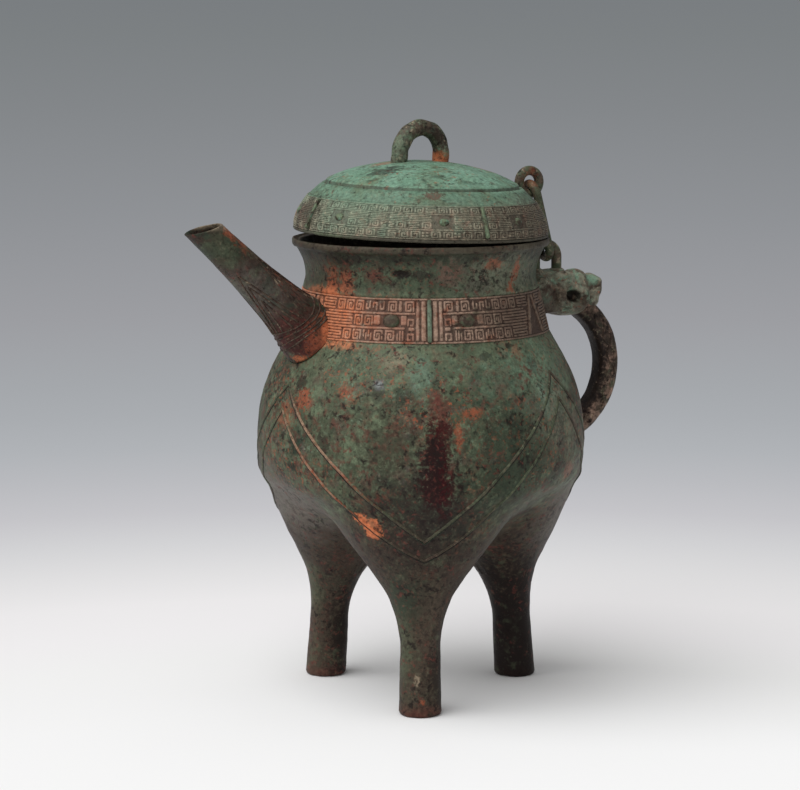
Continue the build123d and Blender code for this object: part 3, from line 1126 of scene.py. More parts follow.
@dataclass
class Spout:
    """A tapering tube with a flared collar, cut at the mouth so that it faces up."""

    form: PotForm
    root: Point = (-66.8, 0.0, 187.1)
    rise: float = 42.8
    mouth_lean: float = 15.0
    length: float = 70.6
    overrun: float = 9.0
    wall: tuple[Point, ...] = ((16.8, -9.0), (16.0, -4.5), (14.7, 0.6), (12.9, 7.0), (11.4, 15.0), (10.3, 25.0),
                               (9.5, 36.0), (8.7, 50.0), (8.2, 62.0), (8.0, 70.6))
    wall_steps: int = 5
    bore: float = 6.0
    mouth_bore: float = 7.0
    mouth_depth: float = 9.0
    mouth_power: int = 3
    lip_outer: tuple[Point, ...] = ((0.1, -0.9), (0.0, -0.25), (-0.45, 0.0))
    lip_inner: tuple[Point, ...] = ((0.25, -0.05), (0.0, -0.6), (-0.15, -3.0))
    bite: float = 2.2
    seat_reach: float = 30.0
    seat_rounds: int = 20
    steps: int = 72
    leaves: int = 4
    leaf_turn: float = 45.0
    leaf_foot: float = 7.5
    leaf_tip: float = 44.0
    leaf_nest: tuple[Point, ...] = ((0.92, 0.0), (0.66, 8.0), (0.30, 17.0))
    leaf_bend: float = 1.25
    leaf_points: int = 33
    thread: float = 0.42
    collar_rings: Point = (-1.5, 0.8, 3.6, 6.2)
    ring_sway: float = 1.6
    ring_waves: int = 2
    ring_shift: float = 9.0
    ring_step: int = 5
    uneven: Point = (0.16, 6.0)

    def __post_init__(self) -> None:
        """Works out the axis and the outside's line."""
        turn = math.radians(self.rise)
        self.axis = Vector((-math.cos(turn), 0.0, math.sin(turn)))
        self.up = Vector((math.sin(turn), 0.0, math.cos(turn)))
        self.side = Vector((0.0, 1.0, 0.0))
        self.outside = flowing(self.wall, self.wall_steps)
        self.shear = math.tan(math.radians(90 - self.rise - self.mouth_lean))

    def at(self, along: float, turn: float, radius: float) -> Vector:
        """A point in the tube's own round coordinates.

        Args:
            along: distance from the root.
            turn: angle about the axis, in degrees from the upper side.
            radius: distance from the axis.

        Returns:
            The point, leaned towards the mouth's plane near the mouth.
        """
        spread = math.radians(turn)
        high = radius * math.cos(spread)
        lean = max(0.0, along / self.length) ** self.mouth_power * self.shear * high
        return (Vector(self.root) + self.axis * (along - lean) + self.up * high
                + self.side * (radius * math.sin(spread)))

    def bore_line(self) -> list[Point]:
        """The tube's whole profile, outside, rim and bore, as (radius, 0, along)."""
        rim, tip = self.length, self.wall[-1][0]
        lip = [(tip + out, rim + up) for out, up in self.lip_outer]
        lip += [(self.mouth_bore + out, rim + up) for out, up in self.lip_inner]
        inner = [(self.bore, rim - self.mouth_depth), (self.bore, rim / 2), (self.bore, -self.overrun)]
        return [(radius, 0.0, along) for radius, along in [*self.outside[:-1], *lip, *inner]]

    def seated(self, spots: np.ndarray) -> np.ndarray:
        """Draws points that lie deep in the pot out into its wall.

        Args:
            spots: rows of x, y, z.

        Returns:
            The points, none deeper than the bite.
        """
        low, high = np.zeros(len(spots)), np.full(len(spots), self.seat_reach)
        axis = np.array(self.axis)
        for _ in range(self.seat_rounds):
            middle = (low + high) / 2
            clear = self.form.gap(spots + axis * middle[:, None]) > -self.bite
            high, low = np.where(clear, middle, high), np.where(clear, low, middle)
        return spots + axis * np.where(self.form.gap(spots) > -self.bite, 0.0, high)[:, None]

    def build(self) -> Shape:
        """Spins the tube, leans its mouth and seats its root in the pot's wall.

        Returns:
            The tube.
        """
        bm = spun(self.bore_line(), self.steps, closed=True)
        spots = [self.at(vert.co.z, math.degrees(math.atan2(vert.co.y, vert.co.x)), vert.co.xy.length)
                 for vert in bm.verts]
        moved(bm.verts, self.seated(np.array(spots)))
        settle(bm)
        weather(bm, *self.uneven)
        return bm

    def on_skin(self, along: float, turn: float) -> Point:
        """A point on the tube's outside, by distance from the root and angle."""
        radius = float(np.interp(along, self.outside[:, 1], self.outside[:, 0]))
        return tuple(self.at(along, turn, radius))

    def leaf_lines(self) -> list[list[Point]]:
        """The raised leaf blades that taper towards the mouth.

        Returns:
            Their lines, each a list of points on the tube.
        """
        half = 180.0 / self.leaves
        lines = []
        for leaf in range(self.leaves):
            middle = self.leaf_turn + leaf * 2 * half
            for width, lower in self.leaf_nest:
                tip = self.leaf_tip - lower
                lines.append([self.on_skin(tip + (self.leaf_foot - tip) * abs(share) ** self.leaf_bend,
                                           middle + half * width * share)
                              for share in np.linspace(-1, 1, self.leaf_points)])
        return lines

    def collar_lines(self) -> list[list[Point]]:
        """The wavy rings round the collar.

        Returns:
            Their lines, each a ring of points on the tube.
        """
        lines = []
        for along in self.collar_rings:
            waves = {turn: math.radians(self.ring_waves * turn + self.ring_shift * along)
                     for turn in range(0, 360, self.ring_step)}
            lines.append([self.on_skin(along + self.ring_sway * math.sin(wave), turn) for turn, wave in waves.items()])
        return lines

    def dress(self, finish: Patina, line_finish: Patina) -> None:
        """Makes the tube and its raised lines.

        Args:
            finish: the tube's finish.
            line_finish: the lines' finish.
        """
        finished(self.build(), "spout_tube", Body.VESSEL, finish.material("spout_patina"), ("spout",))
        coat = line_finish.material("spout_line_patina")
        leaves = wires(self.leaf_lines(), self.thread)
        rings = wires(self.collar_lines(), self.thread, closed=True)
        for bm, name in ((leaves, "spout_leaves"), (rings, "spout_collar_rings")):
            mark_relief(bm, lambda vert: 1.0)
            finished(bm, name, Body.VESSEL, coat)


def fused(parts: Sequence[Shape], voxel: float, smoothing: int) -> Shape:
    """Melts closed shapes into one skin.

    Args:
        parts: the shapes, in millimetres, which are used up.
        voxel: the grain of the skin, in millimetres.
        smoothing: how often it is smoothed.

    Returns:
        The skin.
    """
    mesh = bpy.data.meshes.new("melt")
    whole = joined(parts)
    whole.to_mesh(mesh)
    whole.free()
    holder = shown("melt", mesh)
    melt = holder.modifiers.new("melt", "REMESH")
    melt.mode = "VOXEL"
    melt.voxel_size = voxel
    bm = evaluated(holder)
    bpy.data.meshes.remove(mesh)
    for _ in range(smoothing):
        eased(bm, bm.verts)
    bmesh.ops.recalc_face_normals(bm, faces=bm.faces)
    return bm


def blob(middle: Point, half: Point, tilt: float = 0.0) -> Shape:
    """An egg shape.

    Args:
        middle: its centre.
        half: its half-axes.
        tilt: how far it is turned about the Y axis, in degrees.

    Returns:
        The shape.
    """
    bm = bmesh.new()
    place = Matrix.Translation(middle) @ Matrix.Rotation(math.radians(tilt), 4, "Y") @ Matrix.Diagonal((*half, 1.0))
    bmesh.ops.create_icosphere(bm, subdivisions=BLOB_DETAIL, radius=1.0, matrix=place)
    return bm


def block(low: Point, high: Point, round_edge: float) -> Shape:
    """A box with rounded edges.

    Args:
        low: its lowest corner.
        high: its highest corner.
        round_edge: the edges' radius.

    Returns:
        The shape.
    """
    bm = bmesh.new()
    size = Vector(high) - Vector(low)
    place = Matrix.Translation((Vector(low) + Vector(high)) / 2) @ Matrix.Diagonal((*size, 1.0))
    bmesh.ops.create_cube(bm, size=1.0, matrix=place)
    bmesh.ops.bevel(bm, geom=bm.edges[:], offset=round_edge, segments=EDGE_SEGMENTS, profile=0.5, affect="EDGES",
                    material=-1)
    return bm


@dataclass
class Handle:
    """The strap handle and the animal head that holds its upper end."""

    ring_centre: Point = (74.6, 0.0, 157.7)
    ring_radius: float = 34.9
    strap_wide: float = 12.0
    strap_thick: float = 11.1
    strap_edge: float = 3.6
    strap_start: float = 72.0
    strap_end: float = -82.8
    strap_bend: int = 5
    strap_uneven: Point = (0.2, 6.0)
    steps: int = 72
    skull: tuple[Point, Point] = ((58.5, -8.8, 185.0), (94.0, 8.8, 203.6))
    skull_edge: float = 4.0
    masses: tuple[tuple[Point, Point], ...] = (
        ((99.4, 0.0, 196.6), (5.6, 8.4, 7.4)), ((94.0, 0.0, 197.0), (6.0, 8.6, 7.0)),
        ((98.0, 0.0, 190.8), (5.4, 7.4, 5.4)), ((90.0, 0.0, 202.4), (5.4, 8.2, 4.2)),
        ((75.0, 0.0, 203.2), (11.0, 6.6, 3.8)), ((84.0, 0.0, 187.0), (12.0, 9.2, 4.0)),
        ((67.0, 0.0, 204.4), (5.2, 4.8, 3.8)), ((79.4, 0.0, 205.0), (4.8, 4.6, 3.2)))
    pairs: tuple[tuple[Point, Point, float], ...] = (
        ((66.0, 8.4, 196.0), (6.2, 2.8, 8.4), 0.0), ((79.0, 7.8, 203.4), (6.6, 3.4, 3.2), 0.0),
        ((86.0, 9.2, 198.0), (7.8, 2.0, 1.8), 24.0), ((84.0, 9.2, 188.8), (7.0, 1.9, 1.8), 8.0),
        ((91.8, 8.6, 192.4), (2.0, 2.2, 5.0), 0.0), ((100.8, 4.4, 199.6), (2.8, 3.2, 3.0), 0.0),
        ((76.6, 9.2, 193.6), (3.0, 2.0, 5.6), 0.0))
    voxel: float = 0.7
    smoothing: int = 4
    head_uneven: Point = (0.22, 4.0)
    eye_at: Point = (84.2, 9.8, 193.6)
    eye_hollow: Point = (4.6, 4.4, 2.7)
    eye_reach: float = 6.0
    eye_slant: float = 22.0
    scroll: float = 2.3
    scroll_turns: float = 6.0
    scroll_span: Point = (46.0, -70.0)
    scroll_points: int = 120
    scroll_proud: float = 0.05
    scroll_line: float = 0.45

    def strap(self) -> Shape:
        """Spins the bar's section about the ring's middle.

        Returns:
            The strap.
        """
        turn = math.radians(self.strap_start)
        middle = Vector(self.ring_centre)
        out = Vector((math.cos(turn), 0.0, math.sin(turn)))
        section = ring_line(self.strap_wide / 2, self.strap_thick / 2, self.strap_edge, self.strap_bend)
        line = [tuple(middle + out * (self.ring_radius + thick) + Vector((0.0, wide, 0.0))) for wide, thick in section]
        bm = spun(line, self.steps, closed=True, centre=self.ring_centre, axis=(0, 1, 0),
                  turn=math.radians(self.strap_start - self.strap_end))
        bmesh.ops.holes_fill(bm, edges=bm.edges[:], sides=0)
        bmesh.ops.recalc_face_normals(bm, faces=bm.faces)
        weather(bm, *self.strap_uneven)
        return bm

    def head(self) -> Shape:
        """Melts the head from rounded masses and hollows its eyes.

        Returns:
            The head.
        """
        parts = [block(*self.skull, self.skull_edge)] + [blob(*mass) for mass in self.masses]
        for side in (-1, 1):
            parts += [blob((along, side * across, up), half, tilt) for (along, across, up), half, tilt in self.pairs]
        bm = fused(parts, self.voxel, self.smoothing)
        slant = Matrix.Rotation(math.radians(-self.eye_slant), 3, "Y")
        for vert in bm.verts:
            for side in (-1, 1):
                off = slant @ (vert.co - Vector((self.eye_at[0], side * self.eye_at[1], self.eye_at[2])))
                share = max(0.0, 1 - (off.x / self.eye_hollow[0]) ** 2 - (off.z / self.eye_hollow[2]) ** 2)
                if share and abs(off.y) < self.eye_reach:
                    vert.co.y -= side * share ** 0.5 * self.eye_hollow[1]
        weather(bm, *self.head_uneven)
        return bm

    def scrolls(self) -> Shape:
        """Two running scroll lines on each flank of the strap.

        Returns:
            The lines as raised threads.
        """
        turns = np.radians(np.linspace(*self.scroll_span, self.scroll_points))
        flank = self.strap_wide / 2 + self.scroll_proud
        lines = []
        for side in (-1, 1):
            for phase in (0.0, math.pi):
                swing = self.ring_radius + self.scroll * np.sin(turns * self.scroll_turns * 2 + phase)
                lines.append([(self.ring_centre[0] + far * math.cos(turn), side * flank,
                               self.ring_centre[2] + far * math.sin(turn)) for turn, far in zip(turns, swing)])
        return wires(lines, self.scroll_line)

    def dress(self, strap_finish: Patina, head_finish: Patina) -> None:
        """Makes the strap and the head.

        Args:
            strap_finish: the strap's finish.
            head_finish: the head's finish.
        """
        coat = strap_finish.material("strap_patina")
        finished(self.strap(), "handle_strap", Body.VESSEL, coat, ("handle",))
        finished(self.scrolls(), "strap_scrolls", Body.VESSEL, coat)
        finished(self.head(), "handle_head", Body.VESSEL, head_finish.material("head_patina"))


@dataclass
class LidFrame:
    """The lid's own frame: its edge's plane, tipped so that the spout side stands a little open."""

    level: float = 228.75
    tip: float = 1.9
    hinge: Point = (0.5, 0.866, 0.0)

    def place(self) -> Matrix:
        """The matrix that takes the lid's own coordinates to the vessel's."""
        tipped = Matrix.Rotation(math.radians(self.tip), 4, Vector(self.hinge))
        return Matrix.Translation((0.0, 0.0, self.level)) @ tipped


@dataclass
class Lid:
    """The domed lid, with a tongue that stands in the neck."""

    where: LidFrame
    edge: tuple[Point, ...] = ((62.0, 0.0), (62.6, 0.3), (62.9, 0.9))
    shoulder: tuple[Point, ...] = ((62.9, 0.9), (62.7, 1.4))
    band: tuple[Point, ...] = ((62.2, 1.7), (62.0, 4.6), (61.1, 8.0), (59.1, 12.0), (55.8, 16.9))
    rings: tuple[Point, ...] = ((55.6, 17.7), (55.1, 17.5), (54.6, 18.4), (50.6, 22.2), (49.0, 23.4), (48.4, 22.5),
                                (47.7, 22.8), (47.4, 24.5), (46.8, 25.2))
    dome: tuple[Point, ...] = ((46.8, 25.2), (44.8, 26.3), (36.0, 30.0), (24.0, 33.0), (12.0, 34.8), (0.0, 35.3))
    inside: tuple[Point, ...] = ((0.0, 31.9), (24.0, 29.6), (45.0, 21.6), (54.6, 13.0), (57.6, 6.0), (57.6, 4.0),
                                 (49.7, 4.0), (49.7, -6.6), (50.1, -7.0), (52.3, -7.0), (52.7, -6.6), (52.7, 0.0))
    furrows: tuple[Point, ...] = ((47.2, 48.6), (54.9, 55.3))
    spans: tuple[int, int, int] = (4, 6, 7)
    steps: int = 180
    uneven: Point = (0.1, 8.0)

    def build(self) -> Shape:
        """Spins the lid's profile.

        Returns:
            The lid.
        """
        shoulder, band, dome = (flowing(*part) for part in zip((self.shoulder, self.band, self.dome), self.spans))
        rows = [np.array(self.edge[:-1]), shoulder, band, np.array(self.rings[:-1]), dome, np.array(self.inside)]
        line = [(radius, 0.0, level) for radius, level in np.vstack(rows)]
        bm = spun(line + [line[0]], self.steps)
        mark_relief(bm, lambda vert: float(not any(low < vert.co.xy.length < high for low, high in self.furrows)))
        bmesh.ops.transform(bm, matrix=self.where.place(), verts=bm.verts)
        weather(bm, *self.uneven)
        return bm

    def dress(self, finish: Patina) -> None:
        """Makes the lid's piece with that finish."""
        finished(self.build(), "lid_dome", Body.LID, finish.material("lid_patina"), ("lid",))


@dataclass
class EyeFoot:
    """The flared stub that carries the ring on the lid's shoulder."""

    ring_middle: Point = (62.8, 0.0, 251.4)
    lean: float = 44.0
    line: tuple[Point, ...] = ((0.0, -12.0), (5.0, -12.0), (4.6, -10.6), (3.4, -9.3), (2.8, -8.2), (2.6, -6.8),
                               (1.6, -5.6), (0.0, -5.4))
    span: int = 4
    steps: int = 40
    uneven: Point = (0.15, 4.0)

    def build(self) -> Shape:
        """Spins the stub and leans it out from the lid.

        Returns:
            The stub.
        """
        bm = spun([(radius, 0.0, level) for radius, level in flowing(self.line, self.span)], self.steps)
        lean = Matrix.Translation(self.ring_middle) @ Matrix.Rotation(math.radians(self.lean), 4, "Y")
        bmesh.ops.transform(bm, matrix=lean, verts=bm.verts)
        weather(bm, *self.uneven)
        return bm

    def dress(self, coat: Coat) -> None:
        """Makes the stub's piece with that coat."""
        finished(self.build(), "lid_eye_foot", Body.LID, coat)


@dataclass
class Bail:
    """The arched grip on the lid."""

    where: LidFrame
    half_span: float = 11.7
    offset: float = -1.7
    crown: float = 51.5
    posts: tuple[Point, ...] = ((0.0, 30.0), (0.0, 37.0), (0.7, 42.4), (4.4, 48.7))
    bar_foot: float = 4.2
    bar_crown: float = 4.0
    taper_from: float = 36.0
    span: int = 6
    sides: int = 28
    uneven: Point = (0.55, 7.0)

    def build(self) -> Shape:
        """Bends a tapered bar into the arch.

        Returns:
            The grip.
        """
        half = [(self.half_span - inset, level) for inset, level in self.posts]
        path = flowing([(-across, level) for across, level in half] + [(0.0, self.crown)] + half[::-1], self.span)
        path[:, 0] += self.offset
        bm = bmesh.new()
        previous: list[bmesh.types.BMEdge] = []
        for index, (across, level) in enumerate(path):
            after, before = path[min(index + 1, len(path) - 1)], path[max(index - 1, 0)]
            along = Vector((after[0] - before[0], 0.0, after[1] - before[1])).normalized()
            share = min(1.0, max(0.0, (level - self.taper_from) / (self.crown - self.taper_from)))
            radius = self.bar_foot + (self.bar_crown - self.bar_foot) * share
            place = Matrix.Translation((across, 0.0, level)) @ along.to_track_quat("Z", "Y").to_matrix().to_4x4()
            ring = bmesh.ops.create_circle(bm, cap_ends=index in (0, len(path) - 1), radius=radius,
                                           segments=self.sides, matrix=place)["verts"]
            edges = list({edge for vert in ring for edge in vert.link_edges if edge.other_vert(vert) in ring})
            if previous:
                bmesh.ops.bridge_loops(bm, edges=previous + edges)
            previous = edges
        settle(bm)
        bmesh.ops.transform(bm, matrix=self.where.place(), verts=bm.verts)
        weather(bm, *self.uneven)
        return bm

    def dress(self, finish: Patina) -> None:
        """Makes the grip's piece with that finish."""
        finished(self.build(), "lid_grip", Body.LID, finish.material("grip_patina"), ("lid_bail",))


class ScrollSheet:
    """Half of a panel of scrollwork, drawn in raised cells from the panel's axis outwards."""

    def __init__(self, rows: int, columns: int) -> None:
        """Starts with bare ground and a border line along both edges."""
        self.cells = np.zeros((rows, columns), dtype=bool)
        self.bar(1, 0, columns - 1, 0)
        self.bar(1, rows - 1, columns - 1, rows - 1)

    def bar(self, left: int, low: int, right: int, high: int) -> None:
        """Raises a block of cells, its last column and row too."""
        self.cells[low:high + 1, left:right + 1] = True

    def path(self, corners: Sequence[tuple[int, int]]) -> None:
        """Raises a line one cell wide through corners of (column, row)."""
        for (left, low), (right, high) in zip(corners, corners[1:]):
            self.bar(min(left, right), min(low, high), max(left, right), max(low, high))

    def slope(self, left: int, low: int, right: int, high: int, wide: int) -> None:
        """Raises a slanting ridge.

        Args:
            left: the column of its foot.
            low: the row of its foot.
            right: the column of its top.
            high: the row of its top.
            wide: its width in cells.
        """
        for row in range(low, high + 1):
            column = round(left + (right - left) * (row - low) / (high - low))
            self.bar(column, row, column + wide - 1, row)

    def spiral(self, left: int, low: int, size: int = 7, flip: bool = False) -> None:
        """Raises a square spiral.

        Args:
            left: its first column.
            low: its lowest row.
            size: its width and height in cells, an odd number.
            flip: True to wind it the other way.
        """
        corners = [(0, 0)]
        for inset in range(0, size // 2, 2):
            far = size - 1 - inset
            corners += [(inset, far), (far, far), (far, inset), (inset + 2, inset)]
        if flip:
            corners = [(size - 1 - across, up) for across, up in corners]
        self.path([(left + across, low + up) for across, up in corners])

    def hairpin(self, left: int, low: int, right: int, high: int) -> None:
        """Raises lines on every second row, joined at alternate ends."""
        rows = list(range(low, high + 1, 2))
        corners = []
        for index, row in enumerate(rows):
            ends = [(left, row), (right, row)]
            corners += ends if index % 2 == 0 else ends[::-1]
        self.path(corners)


def neck_sheet() -> ScrollSheet:
    """Half a mask of the neck's band, from the nose to the panel's end.

    Returns:
        The drawing.
    """
    sheet = ScrollSheet(31, 104)
    sheet.bar(3, 2, 5, 28)
    sheet.bar(8, 2, 9, 28)
    sheet.bar(12, 9, 15, 10)
    for left, low, size, flip in ((12, 12, 5, True), (12, 2, 5, False), (12, 22, 7, False), (26, 22, 7, True),
                                  (54, 22, 7, False), (63, 22, 7, True), (72, 22, 7, False), (45, 12, 7, False),
                                  (54, 12, 7, True), (27, 2, 7, True), (36, 2, 7, False), (54, 2, 7, False),
                                  (63, 2, 7, True)):
        sheet.spiral(left, low, size, flip)
    for left, low, right, high in ((22, 22, 23, 28), (18, 13, 21, 18), (39, 13, 43, 18), (20, 2, 20, 8),
                                   (22, 2, 22, 8), (24, 2, 24, 6), (11, 20, 88, 20), (19, 10, 90, 10),
                                   (45, 2, 45, 6), (47, 4, 47, 8), (49, 2, 49, 6), (51, 4, 51, 8)):
        sheet.bar(left, low, right, high)
    for left in (36, 48):
        sheet.path(((left, 28), (left, 23), (left + 3, 23), (left + 3, 26)))
    sheet.path(((42, 22), (42, 27), (45, 27), (45, 24)))
    sheet.hairpin(82, 22, 95, 28)
    sheet.hairpin(63, 12, 91, 18)
    sheet.hairpin(72, 2, 88, 8)
    sheet.slope(91, 2, 100, 28, 3)
    return sheet


def lid_sheet() -> ScrollSheet:
    """Half a panel of the lid's band, from the flange to the panel's end.

    Returns:
        The drawing.
    """
    sheet = ScrollSheet(39, 76)
    for left, low, flip in ((3, 30, False), (21, 30, True), (30, 30, False), (49, 30, True), (58, 30, False),
                            (67, 30, True), (3, 2, True), (12, 2, False), (27, 2, True), (36, 2, False), (51, 2, False),
                            (60, 2, True), (3, 12, False), (43, 12, True), (62, 12, False)):
        sheet.spiral(left, low, 7, flip)
    for left, low, right, high in ((12, 30, 18, 36), (39, 30, 46, 36), (3, 22, 24, 26), (43, 22, 58, 26),
                                   (61, 22, 74, 26), (12, 12, 24, 18), (52, 12, 59, 18), (71, 12, 74, 18),
                                   (69, 2, 74, 8)):
        sheet.hairpin(left, low, right, high)
    for left in (21, 24, 45, 48):
        sheet.bar(left, 3, left + 1, 4)
        sheet.bar(left, 6, left + 1, 7)
    for left, row, right in ((3, 10, 75), (3, 20, 24), (42, 20, 75), (3, 28, 75)):
        sheet.bar(left, row, right, row)
    return sheet


@dataclass
class Frieze:
    """A band of raised scrollwork, wrapped on a turned surface, with flanges and eye bosses."""

    name: str
    body: Body
    slot: Slot
    sheet: ScrollSheet
    line: tuple[Point, ...]
    panels: int
    start: float
    eye_column: float
    eye_half: Point
    flange_half: Point
    bare: tuple[float, ...] = ()
    place: Matrix = field(default_factory=lambda: Matrix.Identity(4))
    ground: float = -0.35
    height: float = 0.7
    under: float = -1.0
    soften: int = 2
    soften_factor: float = 0.4
    widen: float = 0.18
    span: int = 8
    slope_reach: float = 0.06
    rim: float = 0.4999
    weld: float = 0.02
    flange_root: float = -1.0
    flange_round: float = 0.7
    eye_level: float = -0.2

    def __post_init__(self) -> None:
        """Measures the line that the band follows."""
        self.points = flowing(self.line, self.span)
        lengths = np.hypot(*np.diff(self.points, axis=0).T)
        self.shares = np.concatenate([[0.0], np.cumsum(lengths)]) / lengths.sum()

    def frame_at(self, turn: float, share: float) -> Matrix:
        """A frame on the band: X along it, Y up it, Z outwards.

        Args:
            turn: angle about the axis, in degrees.
            share: 0 at the band's foot, 1 at its top.

        Returns:
            The frame as a matrix.
        """
        radius, level = (np.interp(share, self.shares, self.points[:, side]) for side in (0, 1))
        ends = np.clip((share - self.slope_reach, share + self.slope_reach), 0, 1)
        wide, high = (np.diff(np.interp(ends, self.shares, self.points[:, side]))[0] for side in (0, 1))
        up = Vector((wide, 0, high)).normalized()
        out = Vector((up.z, 0, -up.x))
        local = Matrix((Vector((0, 1, 0)), up, out)).transposed().to_4x4()
        local.translation = Vector((radius, 0, level))
        return Matrix.Rotation(math.radians(turn), 4, "Z") @ local

    def build(self) -> Shape:
        """Lifts the drawing's cells from a sheet, rounds them, wraps the sheet and closes its back.

        Returns:
            The band.
        """
        half = self.sheet.cells
        whole = np.tile(np.hstack([half, half[:, ::-1]]), (1, self.panels))
        rows, columns = whole.shape
        bm = bmesh.new()
        bmesh.ops.create_grid(bm, x_segments=columns, y_segments=rows, size=HALF)
        centres = {face: face.calc_center_median() + Vector((HALF, HALF, 0.0)) for face in bm.faces}
        raised = [face for face, spot in centres.items() if whole[int(spot.y * rows), int(spot.x * columns)]]
        self.widened(bm, set(raised), centres)
        lifted = bmesh.ops.extrude_face_region(bm, geom=raised)["geom"]
        bmesh.ops.translate(bm, verts=[item for item in lifted if isinstance(item, bmesh.types.BMVert)], vec=(0, 0, 1))
        bmesh.ops.delete(bm, geom=raised, context="FACES")
        mark_relief(bm, lambda vert: vert.co.z)
        inner = [vert for vert in bm.verts if not vert.is_boundary]
        for _ in range(self.soften):
            eased(bm, inner, self.soften_factor)
        rims = [edge for edge in bm.edges
                if edge.is_boundary and all(abs(vert.co.y) > self.rim for vert in edge.verts)]
        hem = bmesh.ops.extrude_edge_only(bm, edges=rims)["geom"]
        for vert in hem:
            if isinstance(vert, bmesh.types.BMVert):
                vert.co.z = (self.under - self.ground) / self.height
        for vert in bm.verts:
            across, up, out = vert.co
            spot = self.frame_at(self.start + 360 * (across + HALF), up + HALF)
            vert.co = spot @ Vector((0, 0, self.ground + self.height * out))
        bmesh.ops.remove_doubles(bm, verts=bm.verts, dist=self.weld)
        bmesh.ops.bridge_loops(bm, edges=[edge for edge in bm.edges if edge.is_boundary])
        bmesh.ops.recalc_face_normals(bm, faces=bm.faces)
        bmesh.ops.transform(bm, matrix=self.place, verts=bm.verts)
        return bm

    def widened(self, bm: Shape, raised: set[bmesh.types.BMFace],
                centres: dict[bmesh.types.BMFace, Vector]) -> None:
        """Spreads the raised cells over the edges of the ground, which leaves narrow furrows.

        Args:
            bm: the flat sheet.
            raised: its raised faces.
            centres: the middle of each face.
        """
        moves = []
        for vert in bm.verts:
            tops = [centres[face] for face in vert.link_faces if face in raised]
            lows = [centres[face] for face in vert.link_faces if face not in raised]
            if tops and lows and not vert.is_boundary:
                moves.append((vert, sum(lows, Vector()) / len(lows) - sum(tops, Vector()) / len(tops)))
        for vert, move in moves:
            vert.co += move * self.widen

    def lumps(self, turns: Sequence[float], make: Callable[[], Shape]) -> Shape:
        """Sets copies of a small shape on the band's middle.

        Args:
            turns: the angles of the copies.
            make: makes the shape in the band's own frame.

        Returns:
            The copies as one mesh.
        """
        copies = []
        for turn in turns:
            lump = make()
            bmesh.ops.transform(lump, matrix=self.place @ self.frame_at(turn, HALF), verts=lump.verts)
            copies.append(lump)
        whole = joined(copies)
        bmesh.ops.recalc_face_normals(whole, faces=whole.faces)
        mark_relief(whole, lambda vert: 1.0)
        return whole

    def dress(self, finish: Patina, lump_finish: Patina) -> None:
        """Makes the band, its flanges and its eye bosses.

        Args:
            finish: the band's finish.
            lump_finish: the flanges' and bosses' finish.
        """
        cover = finish.material(self.name + "_frieze_patina")
        finished(self.build(), self.name + "_frieze", self.body, cover)
        axes = [self.start + 360 * panel / self.panels for panel in range(self.panels)]
        off = 180 / self.panels * self.eye_column / self.sheet.cells.shape[1]
        eyes = [axis + side * off for axis in axes for side in (-1, 1)]
        coat = lump_finish.material(self.name + "_lump_patina")
        wide, tall, proud = self.flange_half
        flanges = self.lumps([axis for axis in axes if axis not in self.bare],
                             lambda: block((-wide, -tall, self.flange_root), (wide, tall, proud),
                                           wide * self.flange_round))
        finished(flanges, self.name + "_flanges", self.body, coat)
        bosses = self.lumps(eyes, lambda: blob((0, 0, self.eye_level), self.eye_half))
        finished(bosses, self.name + "_eyes", self.body, coat)


